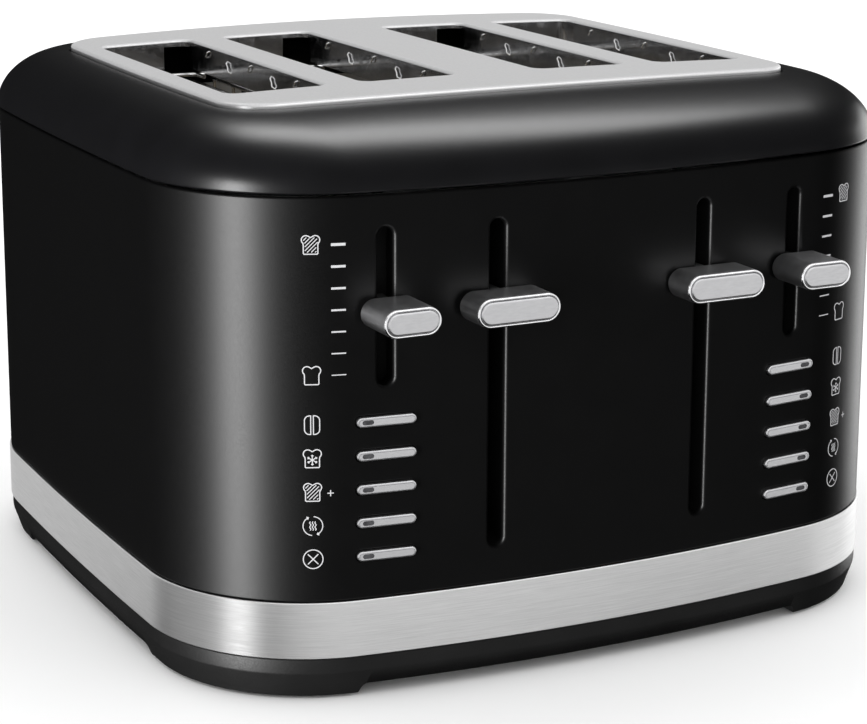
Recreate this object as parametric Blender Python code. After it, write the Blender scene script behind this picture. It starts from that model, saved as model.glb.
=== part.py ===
"""A four-slot pop-up toaster: metres, +Z up, front towards -Y, right-hand side towards +X, feet on Z = 0."""

import math

import bmesh
import bpy
from mathutils import Matrix, Vector

# Body seen from above: a rectangle whose sides are shallow arcs and whose corners are round.
KNOB_REACH, FACE_PROUD, GLAND_PROUD = 0.0167, 0.0005, 0.0026  # beyond the body's front and rear
BODY_Y = (KNOB_REACH + FACE_PROUD - GLAND_PROUD) / 2  # puts the middle of the whole object on Y = 0
HALF_X = 0.1488
HALF_Y = 0.1475
FRONT_BOW = 0.0163
SIDE_BOW = 0.0042
CORNER_RADIUS = 0.063
FRONT_STEPS, CORNER_STEPS, SIDE_STEPS = 5, 9, 4

# Heights above the table.
FOOT_BOTTOM = 0.0012
ARCH_TOP = 0.005
BASE_FACET = 0.0105
BAND_LOW, BAND_HIGH = 0.016, 0.0369
SEAM = 0.1802
PLATE_TOP = 0.2067
GAP = 0.0003  # clearance between pieces that meet

# Walls.
WALL = 0.0024
SHEET = 0.0010
BASE_TAPER, BASE_WALL, BASE_FLOOR = 0.0030, 0.0045, 0.0080
ARCH_HALF_X, ARCH_HALF_Y = 0.0920, 0.0720
LIP_INSET, LIP_HALF_HEIGHT = 0.0017, 0.0020
BAND_PROUD = 0.0006
SHOULDER_PROUD = 0.0005
SEAM_GROOVE = 0.0008
SHOULDER_STEPS = 6

# Top plate: slightly crowned from side to side.
PLATE_HALF_X, PLATE_HALF_Y = 0.1182, 0.1030
PLATE_Y = BODY_Y + 0.0043
PLATE_BOW, PLATE_SIDE_BOW, PLATE_RADIUS = 0.0070, 0.0020, 0.020
PLATE_CROWN = 0.13  # fall in metres per square metre of distance from the middle
PLATE_PROUD = 0.0020
PLATE_SKIRT = 0.0060
PLATE_GAP = 0.0010

# Bread slots: inner and outer slot of each pair, as distances from the middle.
SLOT_SPANS = ((0.0169, 0.0554), (0.0698, 0.1083))
SLOT_Y = BODY_Y + 0.0055
SLOT_HALF_LENGTH = 0.0705
SLOT_RADIUS = 0.0045
LINER_DEPTH = 0.0130

# Front controls.
LEVER_X, BROWNING_X = 0.0417, 0.0829
LEVER_SLOT, BROWNING_SLOT = (0.0493, 0.1702), (0.1120, 0.1702)
SLOT_MOUTH, SLOT_HOLE, SLOT_CHAMFER = 0.0088, 0.0058, 0.0015
LEVER_REST_Z, BROWNING_REST_Z = 0.1397, 0.1402
LEVER_KNOB, LEVER_REACH = (0.0320, 0.0104), 0.0148  # width and height; reach beyond the body's front
BROWNING_KNOB, BROWNING_REACH = (0.0213, 0.0100), KNOB_REACH
KNOB_GAP = 0.0005
KNOB_CHAMFER = 0.0008
FACE_INSET, FACE_RECESS = 0.0013, 0.0010
STEM_HALF, STEM_HALF_HEIGHT = 0.0018, 0.0035
SLIDE_CONTROL_DEPTH, BOARD_DEPTH, BOARD_THICK = 0.0104, 0.0190, 0.0016
BUTTON_SIZE = (0.0216, 0.0037)
BUTTON_PROUD, BUTTON_DEPTH = 0.0012, 0.0085
BUTTON_TOP_Z, BUTTON_PITCH = 0.1011, 0.01205
BUTTON_TRAVEL = 0.0015
FUNCTIONS = ("bagel", "defrost", "extra", "reheat", "cancel")

# Inside.
CHASSIS_FRONT_Y = SLOT_Y - 0.0810
CHASSIS_REAR_Y = SLOT_Y + 0.0800
CHASSIS_HALF_X = 0.1270
CHASSIS_LOW, CHASSIS_HIGH = 0.0330, 0.1860
HEATER_X = (0.0085, 0.0626, 0.1180)
HEATER_LOW, HEATER_HIGH = 0.0480, 0.1780
HEATER_HALF_LENGTH = 0.0700
GUARD_LOW, GUARD_HIGH = 0.0470, 0.1890
GUARD_HALF_LENGTH = 0.0745
GUARD_WIRES = 8
GUARD_THICK = 0.0016
RACK_TOP = 0.1380
RACK_HALF_WIDTH, RACK_THICK = 0.0100, 0.0025
CARRIAGE_Y = CHASSIS_FRONT_Y - 0.0095
CARRIAGE_SPAN, CARRIAGE_Z = (0.0300, 0.0975), (0.1280, 0.1520)
ROD_X, ROD_Y, ROD_RADIUS = 0.0626, CARRIAGE_Y - 0.0065, 0.0030
SPRING_X, SPRING_RADIUS = 0.0770, 0.0035
BRACKET_LOW, BRACKET_HIGH = 0.0400, 0.1757
TRAY_Z = (0.0195, 0.0275)
TRAY_SPAN = (0.0135, 0.1120)
WINDOW_Z = (0.0185, 0.0345)
PAN_INSET = 0.0002
FOOT_X, FOOT_Y, PAD_RADIUS, PAD_RECESS = 0.1080, 0.1060, 0.0070, 0.0030
GLAND_Z, GLAND_BORE, GLAND_NECK, GLAND_FLANGE = 0.0560, 0.0037, 0.0062, 0.0100
EDGE = 0.0008  # bevel of turned edges

SIDES = (("left", -1), ("right", 1))
PAIRS = (("inner", 0), ("outer", 1))

BLACK_PLASTIC = ("black plastic", (0.012, 0.012, 0.013), 0.45, 0.0)
SATIN_BLACK = ("satin black paint", (0.016, 0.016, 0.018), 0.35, 0.0)
RUBBER = ("rubber", (0.02, 0.02, 0.02), 0.8, 0.0)
BRUSHED_STEEL = ("brushed steel", (0.62, 0.62, 0.62), 0.3, 1.0)
PLATE_STEEL = ("satin steel", (0.60, 0.60, 0.60), 0.38, 1.0)
DARK_CHROME = ("dark chrome", (0.18, 0.18, 0.19), 0.25, 1.0)
SILVER = ("satin silver", (0.66, 0.66, 0.67), 0.35, 1.0)
ZINC_SHEET = ("zinc-plated sheet", (0.55, 0.56, 0.56), 0.4, 1.0)
WIRE_STEEL = ("wire steel", (0.6, 0.6, 0.6), 0.25, 1.0)
MICA = ("mica", (0.55, 0.47, 0.36), 0.6, 0.0)
BOARD_GREEN = ("circuit board", (0.03, 0.16, 0.07), 0.5, 0.0)
COIL_COPPER = ("coil", (0.45, 0.18, 0.08), 0.4, 0.8)


# ---------------------------------------------------------------- tools


def clear_scene():
    for obj in list(bpy.data.objects):
        bpy.data.objects.remove(obj, do_unlink=True)


def material(finish):
    name, colour, roughness, metallic = finish
    found = bpy.data.materials.get(name)
    if found:
        return found
    made = bpy.data.materials.new(name)
    made.use_nodes = True
    shader = made.node_tree.nodes["Principled BSDF"]
    shader.inputs["Base Color"].default_value = (*colour, 1.0)
    shader.inputs["Roughness"].default_value = roughness
    shader.inputs["Metallic"].default_value = metallic
    return made


def solid(name, points, faces, finish=None, at=(0.0, 0.0, 0.0), turn=0.0):
    """An object from points round its own origin. With no finish it is a cutter, not part of the model."""
    mesh = bpy.data.meshes.new(name)
    mesh.from_pydata([tuple(p) for p in points], [], faces)
    mesh.update()
    obj = bpy.data.objects.new(name, mesh)
    bpy.context.scene.collection.objects.link(obj)
    obj.location = at
    obj.rotation_euler = (0.0, 0.0, turn)
    if finish:
        mesh.materials.append(material(finish))
        mesh.shade_smooth()
        mesh.set_sharp_from_angle(angle=math.radians(35))
    else:
        obj.hide_render = True
        obj.display_type = "WIRE"
    return obj


def loft(name, rings, finish=None, at=(0.0, 0.0, 0.0), turn=0.0, hollow=False):
    """Skins rings of equal length, which run anticlockwise seen from the end that the loft goes towards.
    A hollow loft joins its last ring to its first; otherwise both ends are closed with a flat face."""
    count = len(rings[0])
    points = [p for ring in rings for p in ring]
    spans = len(rings) if hollow else len(rings) - 1
    faces = []
    for k in range(spans):
        low, high = k * count, (k + 1) % len(rings) * count
        for i in range(count):
            j = (i + 1) % count
            faces.append((low + i, low + j, high + j, high + i))
    if not hollow:
        last = (len(rings) - 1) * count
        faces.append(tuple(reversed(range(count))))
        faces.append(tuple(range(last, last + count)))
    return solid(name, points, faces, finish, at, turn)


def box(name, low, high, finish=None, at=(0.0, 0.0, 0.0), turn=0.0):
    corners = [(low[0], low[1]), (high[0], low[1]), (high[0], high[1]), (low[0], high[1])]
    rings = [[(x, y, z) for x, y in corners] for z in (low[2], high[2])]
    return loft(name, rings, finish, at, turn)


def boolean(obj, other, operation):
    modifier = obj.modifiers.new(f"{operation.lower()} {other.name}", "BOOLEAN")
    modifier.operation = operation
    modifier.object = other
    return obj


def cut(obj, *cutters):
    for cutter in cutters:
        boolean(obj, cutter, "DIFFERENCE")
    return obj


def join(obj, *others):
    for other in others:
        boolean(obj, other, "UNION")
    return obj


def keep_inside(obj, other):
    return boolean(obj, other, "INTERSECT")


def arc(centre, radius, start, end, steps):
    """Points from the start angle to the end angle, both included."""
    angles = [start + (end - start) * i / steps for i in range(steps + 1)]
    return [(centre[0] + radius * math.cos(a), centre[1] + radius * math.sin(a)) for a in angles]


def bow_radius(half_span, bow):
    return (half_span**2 + bow**2) / (2 * bow)


def bowed_outline(half_x, half_y, bow, side_bow, radius, inset=0.0, centre_y=BODY_Y):
    """The rounded rectangle with arc sides, anticlockwise from its front's middle, moved in by inset."""
    front = bow_radius(half_x, bow)
    side = bow_radius(half_y, side_bow)
    front_centre = Vector((0.0, front - half_y))
    side_centre = Vector((half_x - side, 0.0))
    between = side_centre - front_centre
    reach, other_reach = front - radius, side - radius
    along = (between.length_squared + reach**2 - other_reach**2) / (2 * between.length)
    across = math.sqrt(reach**2 - along**2)
    unit = between.normalized()
    corner = front_centre + unit * along + Vector((-unit.y, unit.x)) * across
    if corner.x < 0 or corner.y > 0:
        corner = front_centre + unit * along - Vector((-unit.y, unit.x)) * across
    front_angle = math.atan2(corner.y - front_centre.y, corner.x - front_centre.x)
    side_angle = math.atan2(corner.y - side_centre.y, corner.x - side_centre.x)
    quarter = arc(front_centre, front - inset, -math.pi / 2, front_angle, FRONT_STEPS)
    quarter += arc(corner, radius - inset, front_angle, side_angle, CORNER_STEPS)[1:]
    quarter += arc(side_centre, side - inset, side_angle, 0.0, SIDE_STEPS)[1:]
    right = quarter + [(x, -y) for x, y in reversed(quarter[:-1])]
    left = [(-x, y) for x, y in reversed(right[1:-1])]
    return [(x, y + centre_y) for x, y in right + left]


def body_ring(z, inset=0.0):
    outline = bowed_outline(HALF_X, HALF_Y, FRONT_BOW, SIDE_BOW, CORNER_RADIUS, inset)
    return [(x, y, z) for x, y in outline]


def plate_outline(inset=0.0):
    return bowed_outline(
        PLATE_HALF_X, PLATE_HALF_Y, PLATE_BOW, PLATE_SIDE_BOW, PLATE_RADIUS, inset, PLATE_Y
    )


def crown(x):
    return PLATE_CROWN * x * x


def stadium(width, height, steps, grow=0.0):
    """Corners of a slot-shaped outline in X and Z, anticlockwise seen from the front (from -Y)."""
    radius = min(width, height) / 2
    shift = (width / 2 - radius, height / 2 - radius)
    round_radius = radius + grow
    if width >= height:
        ends = (((shift[0], 0.0), -math.pi / 2), ((-shift[0], 0.0), math.pi / 2))
    else:
        ends = (((0.0, shift[1]), 0.0), ((0.0, -shift[1]), math.pi))
    outline = []
    for centre, start in ends:
        outline += arc(centre, round_radius, start, start + math.pi, steps)
    return outline


def stadium_loft(name, size, profile, finish=None, at=(0.0, 0.0, 0.0), turn=0.0, steps=5):
    """A slot-shaped block that runs from back to front: profile lists (depth behind the origin, growth)."""
    rings = [[(x, depth, z) for x, z in stadium(*size, steps, grow)] for depth, grow in profile]
    return loft(name, rings, finish, at, turn)


def turned(name, profile, finish=None, at=(0.0, 0.0, 0.0), sides=16, along_y=False, hollow=False):
    """A round piece from (radius, position) pairs along its axis: Z, or -Y where along_y is set."""
    rings = []
    for radius, position in profile:
        ring = arc((0.0, 0.0), radius, 0.0, 2 * math.pi * (1 - 1 / sides), sides - 1)
        rings.append([(x, -position, y) if along_y else (x, y, position) for x, y in ring])
    return loft(name, rings, finish, at, hollow=hollow)


def lattice(name, across, along, thickness, is_open, place, finish=None, at=(0.0, 0.0, 0.0)):
    """A flat sheet on a grid of break lines, with open cells. place turns (u, v, w) into a point."""
    cells = {
        (i, j)
        for i in range(len(across) - 1)
        for j in range(len(along) - 1)
        if not is_open(i, j)
    }
    index = {}
    points = []

    def corner(i, j, face):
        key = (i, j, face)
        if key not in index:
            index[key] = len(points)
            points.append(place(across[i], along[j], thickness * (face - 0.5)))
        return index[key]

    faces = []
    for i, j in sorted(cells):
        square = ((i, j), (i + 1, j), (i + 1, j + 1), (i, j + 1))
        faces.append([corner(a, b, 1) for a, b in square])
        faces.append([corner(a, b, 0) for a, b in reversed(square)])
        neighbours = ((i, j - 1), (i + 1, j), (i, j + 1), (i - 1, j))
        for side, neighbour in enumerate(neighbours):
            if neighbour in cells:
                continue
            start, end = square[side], square[(side + 1) % 4]
            faces.append([corner(*start, 0), corner(*end, 0), corner(*end, 1), corner(*start, 1)])
    obj = solid(name, points, faces, finish, at)
    face_out(obj)
    return obj


def face_out(obj):
    shape = bmesh.new()
    shape.from_mesh(obj.data)
    bmesh.ops.recalc_face_normals(shape, faces=shape.faces)
    shape.to_mesh(obj.data)
    shape.free()


def stripes(low, high, count, width):
    """Break lines of count bars of this width, spread evenly from low to high."""
    pitch = (high - low - width) / (count - 1)
    breaks = []
    for k in range(count):
        breaks += [low + k * pitch, low + k * pitch + width]
    return breaks


def front_place(x):
    """The front wall's point at this x, and the turn that faces a piece straight out of the wall there."""
    radius = bow_radius(HALF_X, FRONT_BOW)
    turn = math.asin(x / radius)
    return (x, BODY_Y - HALF_Y + radius * (1 - math.cos(turn))), turn


# ---------------------------------------------------------------- casing


def slot_cutter(name, x, span):
    """A long hole with a sloped mouth in the front wall."""
    (px, py), turn = front_place(x)
    size = (SLOT_HOLE, span[1] - span[0] - (SLOT_MOUTH - SLOT_HOLE))
    flare = (SLOT_MOUTH - SLOT_HOLE) / 2
    profile = ((4 * WALL, 0.0), (SLOT_CHAMFER, 0.0), (0.0, flare), (-WALL, flare))
    return stadium_loft(name, size, profile, at=(px, py, sum(span) / 2), turn=turn)


def button_places():
    """Side, sign, function, and place of each push button."""
    for side, sign in SIDES:
        for row, function in enumerate(FUNCTIONS):
            (px, py), turn = front_place(sign * BROWNING_X)
            yield side, sign, function, (px, py, BUTTON_TOP_Z - row * BUTTON_PITCH), turn


def main_housing():
    low = BAND_HIGH + GAP
    rings = [body_ring(low), body_ring(SEAM), body_ring(SEAM, WALL), body_ring(low, WALL)]
    shell = loft("main_housing", rings, SATIN_BLACK, hollow=True)
    for side, sign in SIDES:
        cut(shell, slot_cutter(f"cut_lever_{side}", sign * LEVER_X, LEVER_SLOT))
        cut(shell, slot_cutter(f"cut_browning_{side}", sign * BROWNING_X, BROWNING_SLOT))
    for side, _, function, place, turn in button_places():
        profile = ((3 * WALL, GAP), (-WALL, GAP))
        cut(shell, stadium_loft(f"cut_{function}_{side}", BUTTON_SIZE, profile, at=place, turn=turn))
    rear = (0.0, BODY_Y + HALF_Y, GLAND_Z)
    reach = 2 * WALL
    hole = ((GLAND_NECK + GAP, -reach), (GLAND_NECK + GAP, reach))
    cut(shell, turned("cut_gland", hole, at=rear, along_y=True))


def upper_housing():
    """The shoulder: from the seam it curves in and up to the edge round the top plate."""
    base = SEAM + SEAM_GROOVE
    outer, inner = [], []
    for k in range(SHOULDER_STEPS + 1):
        angle = math.pi / 2 * k / SHOULDER_STEPS
        inward, upward = 1 - math.cos(angle), math.sin(angle)
        for rings, skin, edge in ((outer, -SHOULDER_PROUD, 0.0), (inner, WALL, WALL)):
            ring = []
            for (bx, by, _), (px, py) in zip(body_ring(0.0, skin), plate_outline(-PLATE_GAP)):
                top = PLATE_TOP - PLATE_PROUD - crown(px) - edge
                z = base + (top - base) * upward
                ring.append((bx + (px - bx) * inward, by + (py - by) * inward, z))
            rings.append(ring)
    loft("upper_housing", outer + inner[::-1], SATIN_BLACK, hollow=True)


def crowned_block(name, drop, depth):
    """A block whose top follows the crown, this far below the plate's top, and whose bottom is flat."""
    steps = 16
    reach = PLATE_HALF_X + 4 * WALL
    xs = [reach * (2 * i / steps - 1) for i in range(steps + 1)]
    side = [(x, PLATE_TOP - crown(x) - drop) for x in xs]
    side += [(reach, PLATE_TOP - depth), (-reach, PLATE_TOP - depth)]
    ends = (PLATE_Y + PLATE_HALF_Y + 4 * WALL, PLATE_Y - PLATE_HALF_Y - 4 * WALL)
    obj = loft(name, [[(x, y, z) for x, z in side] for y in ends])
    face_out(obj)
    return obj


def plate_prism(name, inset, low, high, finish=None):
    return loft(name, [[(x, y, z) for x, y in plate_outline(inset)] for z in (low, high)], finish)


def rounded_slot(name, centre_x, grow, low, high):
    """A prism with a bread slot's outline, this much larger all round."""
    half_x = (SLOT_SPANS[0][1] - SLOT_SPANS[0][0]) / 2 + grow
    half_y = SLOT_HALF_LENGTH + grow
    radius = SLOT_RADIUS + grow
    outline = []
    for quarter, (sx, sy) in enumerate(((1, -1), (1, 1), (-1, 1), (-1, -1))):
        centre = (centre_x + sx * (half_x - radius), SLOT_Y + sy * (half_y - radius))
        start = (quarter - 1) * math.pi / 2
        outline += arc(centre, radius, start, start + math.pi / 2, 4)
    return loft(name, [[(x, y, z) for x, y in outline] for z in (low, high)])


def slot_centres():
    """Name and centre x of each bread slot."""
    for side, sign in SIDES:
        for pair, place in PAIRS:
            yield f"{side}_{pair}", sign * sum(SLOT_SPANS[place]) / 2


def top_plate():
    """A crowned plate with a turned-down edge and a short liner round each bread slot."""
    low, high = PLATE_TOP - 0.03, PLATE_TOP + 0.01
    plate = plate_prism("top_plate", 0.0, low, high, PLATE_STEEL)
    keep_inside(plate, crowned_block("plate_crown", 0.0, PLATE_SKIRT + crown(PLATE_HALF_X)))
    pocket = plate_prism("plate_pocket", SHEET, low - 0.01, high)
    keep_inside(pocket, crowned_block("plate_under_crown", SHEET, 0.05))
    cut(plate, pocket)
    middle = crowned_block("plate_middle_crown", SHEET / 2, 0.05)
    for name, centre_x in slot_centres():
        liner = rounded_slot(f"liner_{name}", centre_x, SHEET, PLATE_TOP - LINER_DEPTH, high)
        join(plate, keep_inside(liner, middle))
    for name, centre_x in slot_centres():
        cut(plate, rounded_slot(f"cut_slot_{name}", centre_x, 0.0, low - 0.01, high + 0.01))


def band_ring(name, finish=None):
    outer, inner = -BAND_PROUD, SHEET - BAND_PROUD
    rings = [body_ring(BAND_LOW, outer), body_ring(BAND_HIGH, outer)]
    rings += [body_ring(BAND_HIGH, inner), body_ring(BAND_LOW, inner)]
    return loft(name, rings, finish, hollow=True)


def window_box(name, sign, clearance):
    """The part of the rear band that a crumb tray's front fills."""
    xs = sorted((sign * TRAY_SPAN[0], sign * TRAY_SPAN[1]))
    low = (xs[0] + clearance, BODY_Y + 0.07, WINDOW_Z[0] + clearance)
    high = (xs[1] - clearance, BODY_Y + HALF_Y + 0.01, WINDOW_Z[1] - clearance)
    return box(name, low, high)


def base_band():
    band = band_ring("base_band", BRUSHED_STEEL)
    for side, sign in SIDES:
        cut(band, window_box(f"cut_window_{side}", sign, -GAP))


def base_tray():
    """The black base: an upright facet, one that tapers in below it, and corner feet with arches between."""
    rings = [body_ring(FOOT_BOTTOM, BASE_TAPER), body_ring(BASE_FACET), body_ring(BAND_LOW - GAP)]
    base = loft("base_tray", rings, BLACK_PLASTIC)
    far = HALF_X + HALF_Y
    for name, half_x, y0, y1 in (
        ("front_rear", ARCH_HALF_X, -far, far),
        ("sides", far, BODY_Y - ARCH_HALF_Y, BODY_Y + ARCH_HALF_Y),
    ):
        cut(base, box(f"cut_arch_{name}", (-half_x, y0, -ARCH_TOP), (half_x, y1, ARCH_TOP)))
    inside = [body_ring(z, BASE_WALL) for z in (BASE_FLOOR, BAND_HIGH)]
    cut(base, loft("cut_base_inside", inside))
    low, high = BAND_LOW - LIP_HALF_HEIGHT, BAND_LOW + LIP_HALF_HEIGHT
    lip = ((low, LIP_INSET), (high, LIP_INSET), (high, BASE_WALL), (low, BASE_WALL))
    join(base, loft("base_lip", [body_ring(z, inset) for z, inset in lip], hollow=True))
    for side, sign in SIDES:
        for place, x in (("inner", TRAY_SPAN[0] + 0.012), ("outer", TRAY_SPAN[1] - 0.022)):
            low = (sign * x - 0.0015, CHASSIS_FRONT_Y + 0.008, BASE_FLOOR - 0.001)
            high = (sign * x + 0.0015, BODY_Y + 0.125, TRAY_Z[0] - GAP)
            join(base, box(f"tray_rail_{side}_{place}", low, high))
    for name, x, y in foot_places():
        recess = ((PAD_RADIUS + GAP, -0.01), (PAD_RADIUS + GAP, FOOT_BOTTOM + PAD_RECESS))
        cut(base, turned(f"cut_pad_{name}", recess, at=(x, y, 0.0)))


def foot_places():
    for side, sign in SIDES:
        for end, direction in (("front", -1), ("rear", 1)):
            yield f"{end}_{side}", sign * FOOT_X, BODY_Y + direction * FOOT_Y


def foot_pads():
    for name, x, y in foot_places():
        height = FOOT_BOTTOM + PAD_RECESS - GAP
        profile = ((PAD_RADIUS - EDGE, 0.0), (PAD_RADIUS, EDGE), (PAD_RADIUS, height))
        turned(f"foot_pad_{name}", profile, RUBBER, at=(x, y, 0.0))


def cord_gland():
    """A bush in the rear wall, open right through for the cord."""
    rear = (0.0, BODY_Y + HALF_Y, GLAND_Z)
    inside = 2.5 * WALL
    profile = (
        (GLAND_BORE, -GLAND_PROUD),
        (GLAND_FLANGE - EDGE, -GLAND_PROUD),
        (GLAND_FLANGE, -GLAND_PROUD + EDGE),
        (GLAND_FLANGE, -GAP),
        (GLAND_NECK, -GAP),
        (GLAND_NECK, inside),
        (GLAND_BORE, inside),
    )
    obj = turned("cord_gland", profile, BLACK_PLASTIC, at=rear, along_y=True, hollow=True)
    face_out(obj)


# ---------------------------------------------------------------- controls


def knob_back(x, width):
    """The Y of a knob's flat back: clear of the bowed wall at the knob's inner end."""
    return front_place(x - width / 2)[0][1] - KNOB_GAP


def knob(name, size, x, z, reach):
    """A slot-shaped knob that faces straight forward, its rim sloped round a shallow recess."""
    back = knob_back(abs(x), size[0])
    front = BODY_Y - HALF_Y - reach - back
    profile = (
        (0.0, -KNOB_CHAMFER),
        (-KNOB_CHAMFER, 0.0),
        (front + KNOB_CHAMFER, 0.0),
        (front, -KNOB_CHAMFER),
        (front, -FACE_INSET),
        (front + FACE_RECESS, -FACE_INSET),
    )
    return stadium_loft(name, size, profile, DARK_CHROME, (x, back, z), steps=8)


def knob_face(name, size, x, z, reach):
    """The face plate in a knob's recess."""
    edge = -FACE_INSET - GAP
    profile = ((FACE_RECESS - GAP, edge), (GAP - FACE_PROUD, edge), (-FACE_PROUD, edge - GAP))
    stadium_loft(name, size, profile, SILVER, (x, BODY_Y - HALF_Y - reach, z), steps=8)


def levers():
    for side, sign in SIDES:
        knob(f"lever_knob_{side}", LEVER_KNOB, sign * LEVER_X, LEVER_REST_Z, LEVER_REACH)
        knob_face(f"lever_face_{side}", LEVER_KNOB, sign * LEVER_X, LEVER_REST_Z, LEVER_REACH)


def browning_sliders():
    """Knobs with a stem that reaches through the wall to the slide control behind it."""
    for side, sign in SIDES:
        place = (sign * BROWNING_X, BROWNING_REST_Z, BROWNING_REACH)
        slider = knob(f"browning_knob_{side}", BROWNING_KNOB, *place)
        (px, py), _ = front_place(sign * BROWNING_X)
        low = (-STEM_HALF, -2 * WALL, -STEM_HALF_HEIGHT)
        high = (STEM_HALF, SLIDE_CONTROL_DEPTH - 3 * GAP, STEM_HALF_HEIGHT)
        join(slider, box(f"browning_stem_{side}", low, high, at=(px, py, BROWNING_REST_Z)))
        knob_face(f"browning_face_{side}", BROWNING_KNOB, *place)


def buttons():
    for side, _, function, place, turn in button_places():
        front = -BUTTON_PROUD
        profile = ((BUTTON_DEPTH, 0.0), (front + 0.0004, 0.0), (front, -0.0004))
        stadium_loft(f"button_{function}_{side}", BUTTON_SIZE, profile, SILVER, place, turn)


def control_boards():
    """A circuit board behind each control group, with its slide control and a switch behind each button."""
    for side, sign in SIDES:
        (px, py), turn = front_place(sign * BROWNING_X)
        front, into_board = BOARD_DEPTH, BOARD_DEPTH + BOARD_THICK / 4
        low, high = (-0.0165, front, 0.0440), (0.0165, front + BOARD_THICK, 0.1720)
        board = box(f"control_board_{side}", low, high, BOARD_GREEN, (px, py, 0.0), turn)
        low, high = (-0.0045, SLIDE_CONTROL_DEPTH, 0.1085), (0.0045, into_board, 0.1705)
        join(board, box(f"slide_control_{side}", low, high, at=(px, py, 0.0), turn=turn))
        for row, function in enumerate(FUNCTIONS):
            z = BUTTON_TOP_Z - row * BUTTON_PITCH
            low = (-0.003, BUTTON_DEPTH + BUTTON_TRAVEL + 2 * GAP, z - 0.003)
            high = (0.003, into_board, z + 0.003)
            join(board, box(f"switch_{function}_{side}", low, high, at=(px, py, 0.0), turn=turn))


# ---------------------------------------------------------------- inside


def carriages():
    """Each lever's carriage: a plate on a guide rod, a stem to the knob, and an ear for the spring."""
    for side, sign in SIDES:
        place = (sign * ROD_X, ROD_Y, LEVER_REST_Z)

        def local(x, y, z):
            return (sign * x - place[0], y - place[1], z - place[2])

        def block(name, low, high, finish=None):
            ends = (local(*low), local(*high))
            lows = [min(a, b) for a, b in zip(*ends)]
            highs = [max(a, b) for a, b in zip(*ends)]
            return box(name, lows, highs, finish, at=place)

        low_z, high_z = CARRIAGE_Z
        plate_low = (CARRIAGE_SPAN[0], CARRIAGE_Y - SHEET, low_z)
        plate_high = (CARRIAGE_SPAN[1], CARRIAGE_Y + SHEET, high_z)
        carriage = block(f"carriage_{side}", plate_low, plate_high, ZINC_SHEET)
        stem_low = (LEVER_X - STEM_HALF, knob_back(LEVER_X, LEVER_KNOB[0]) + GAP, LEVER_REST_Z - 0.004)
        stem_high = (LEVER_X + STEM_HALF, CARRIAGE_Y, LEVER_REST_Z + 0.004)
        sleeve_low = (ROD_X - 0.006, ROD_Y - 0.006, low_z)
        sleeve_high = (ROD_X + 0.006, CARRIAGE_Y, high_z)
        ear_low = (SPRING_X - 0.004, ROD_Y - 0.005, low_z)
        ear_high = (SPRING_X + 0.004, CARRIAGE_Y, low_z + 0.003)
        join(carriage, block(f"stem_{side}", stem_low, stem_high))
        join(carriage, block(f"sleeve_{side}", sleeve_low, sleeve_high))
        join(carriage, block(f"ear_{side}", ear_low, ear_high))
        bore = ((ROD_RADIUS + 0.0004, -0.03), (ROD_RADIUS + 0.0004, 0.03))
        cut(carriage, turned(f"cut_sleeve_{side}", bore, at=place))


def guide_rods_and_springs():
    for side, sign in SIDES:
        rod = ((ROD_RADIUS, BRACKET_LOW + 0.0012 + GAP), (ROD_RADIUS, BRACKET_HIGH - GAP))
        turned(f"guide_rod_{side}", rod, WIRE_STEEL, at=(sign * ROD_X, ROD_Y, 0.0))
        low = CARRIAGE_Z[0] + 0.003 + GAP
        spring = ((SPRING_RADIUS, 0.0), (SPRING_RADIUS, BRACKET_HIGH - GAP - low))
        turned(f"lift_spring_{side}", spring, WIRE_STEEL, at=(sign * SPRING_X, ROD_Y, low), sides=12)


def bread_racks():
    """A ladder under each slice, on an arm that runs through the chassis to the carriage."""
    for name, centre_x in slot_centres():
        arm_end = CARRIAGE_Y + SHEET + GAP
        ladder_low, ladder_high = SLOT_Y - 0.0720, SLOT_Y + 0.0720
        along = [arm_end] + stripes(ladder_low, ladder_high, 6, 0.0030)
        across = [-RACK_HALF_WIDTH, -0.0060, -0.0025, 0.0025, 0.0060, RACK_HALF_WIDTH]

        def is_open(i, j):
            if j == 0:
                return i != 2
            return j % 2 == 0 and i in (1, 3)

        def place(u, v, w):
            return (u, v - SLOT_Y, w)

        at = (centre_x, SLOT_Y, RACK_TOP - RACK_THICK / 2)
        lattice(f"bread_rack_{name}", across, along, RACK_THICK, is_open, place, WIRE_STEEL, at)


def bread_guards():
    """Upright wire guards, one each side of every slice."""
    for name, centre_x in slot_centres():
        half_slot = (SLOT_SPANS[0][1] - SLOT_SPANS[0][0]) / 2
        for hand, direction in SIDES:
            x = centre_x + direction * (half_slot + 0.0012 + GUARD_THICK / 2)
            along = stripes(-GUARD_HALF_LENGTH, GUARD_HALF_LENGTH, GUARD_WIRES, 0.0022)
            middle = (GUARD_LOW + GUARD_HIGH) / 2
            heights = stripes(GUARD_LOW - middle, GUARD_HIGH - middle, 2, 0.0030)

            def is_open(i, j):
                return i % 2 == 1 and j == 1

            def place(u, v, w):
                return (w, u, v)

            at = (x, SLOT_Y, middle)
            guard = f"bread_guard_{name}_{hand}"
            lattice(guard, along, heights, GUARD_THICK, is_open, place, WIRE_STEEL, at)


def heater_boards():
    for side, sign in SIDES:
        for place, x in zip(("inner", "middle", "outer"), HEATER_X):
            low = (sign * x - 0.0005, SLOT_Y - HEATER_HALF_LENGTH, HEATER_LOW)
            high = (sign * x + 0.0005, SLOT_Y + HEATER_HALF_LENGTH, HEATER_HIGH)
            box(f"heater_board_{side}_{place}", low, high, MICA)


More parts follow.
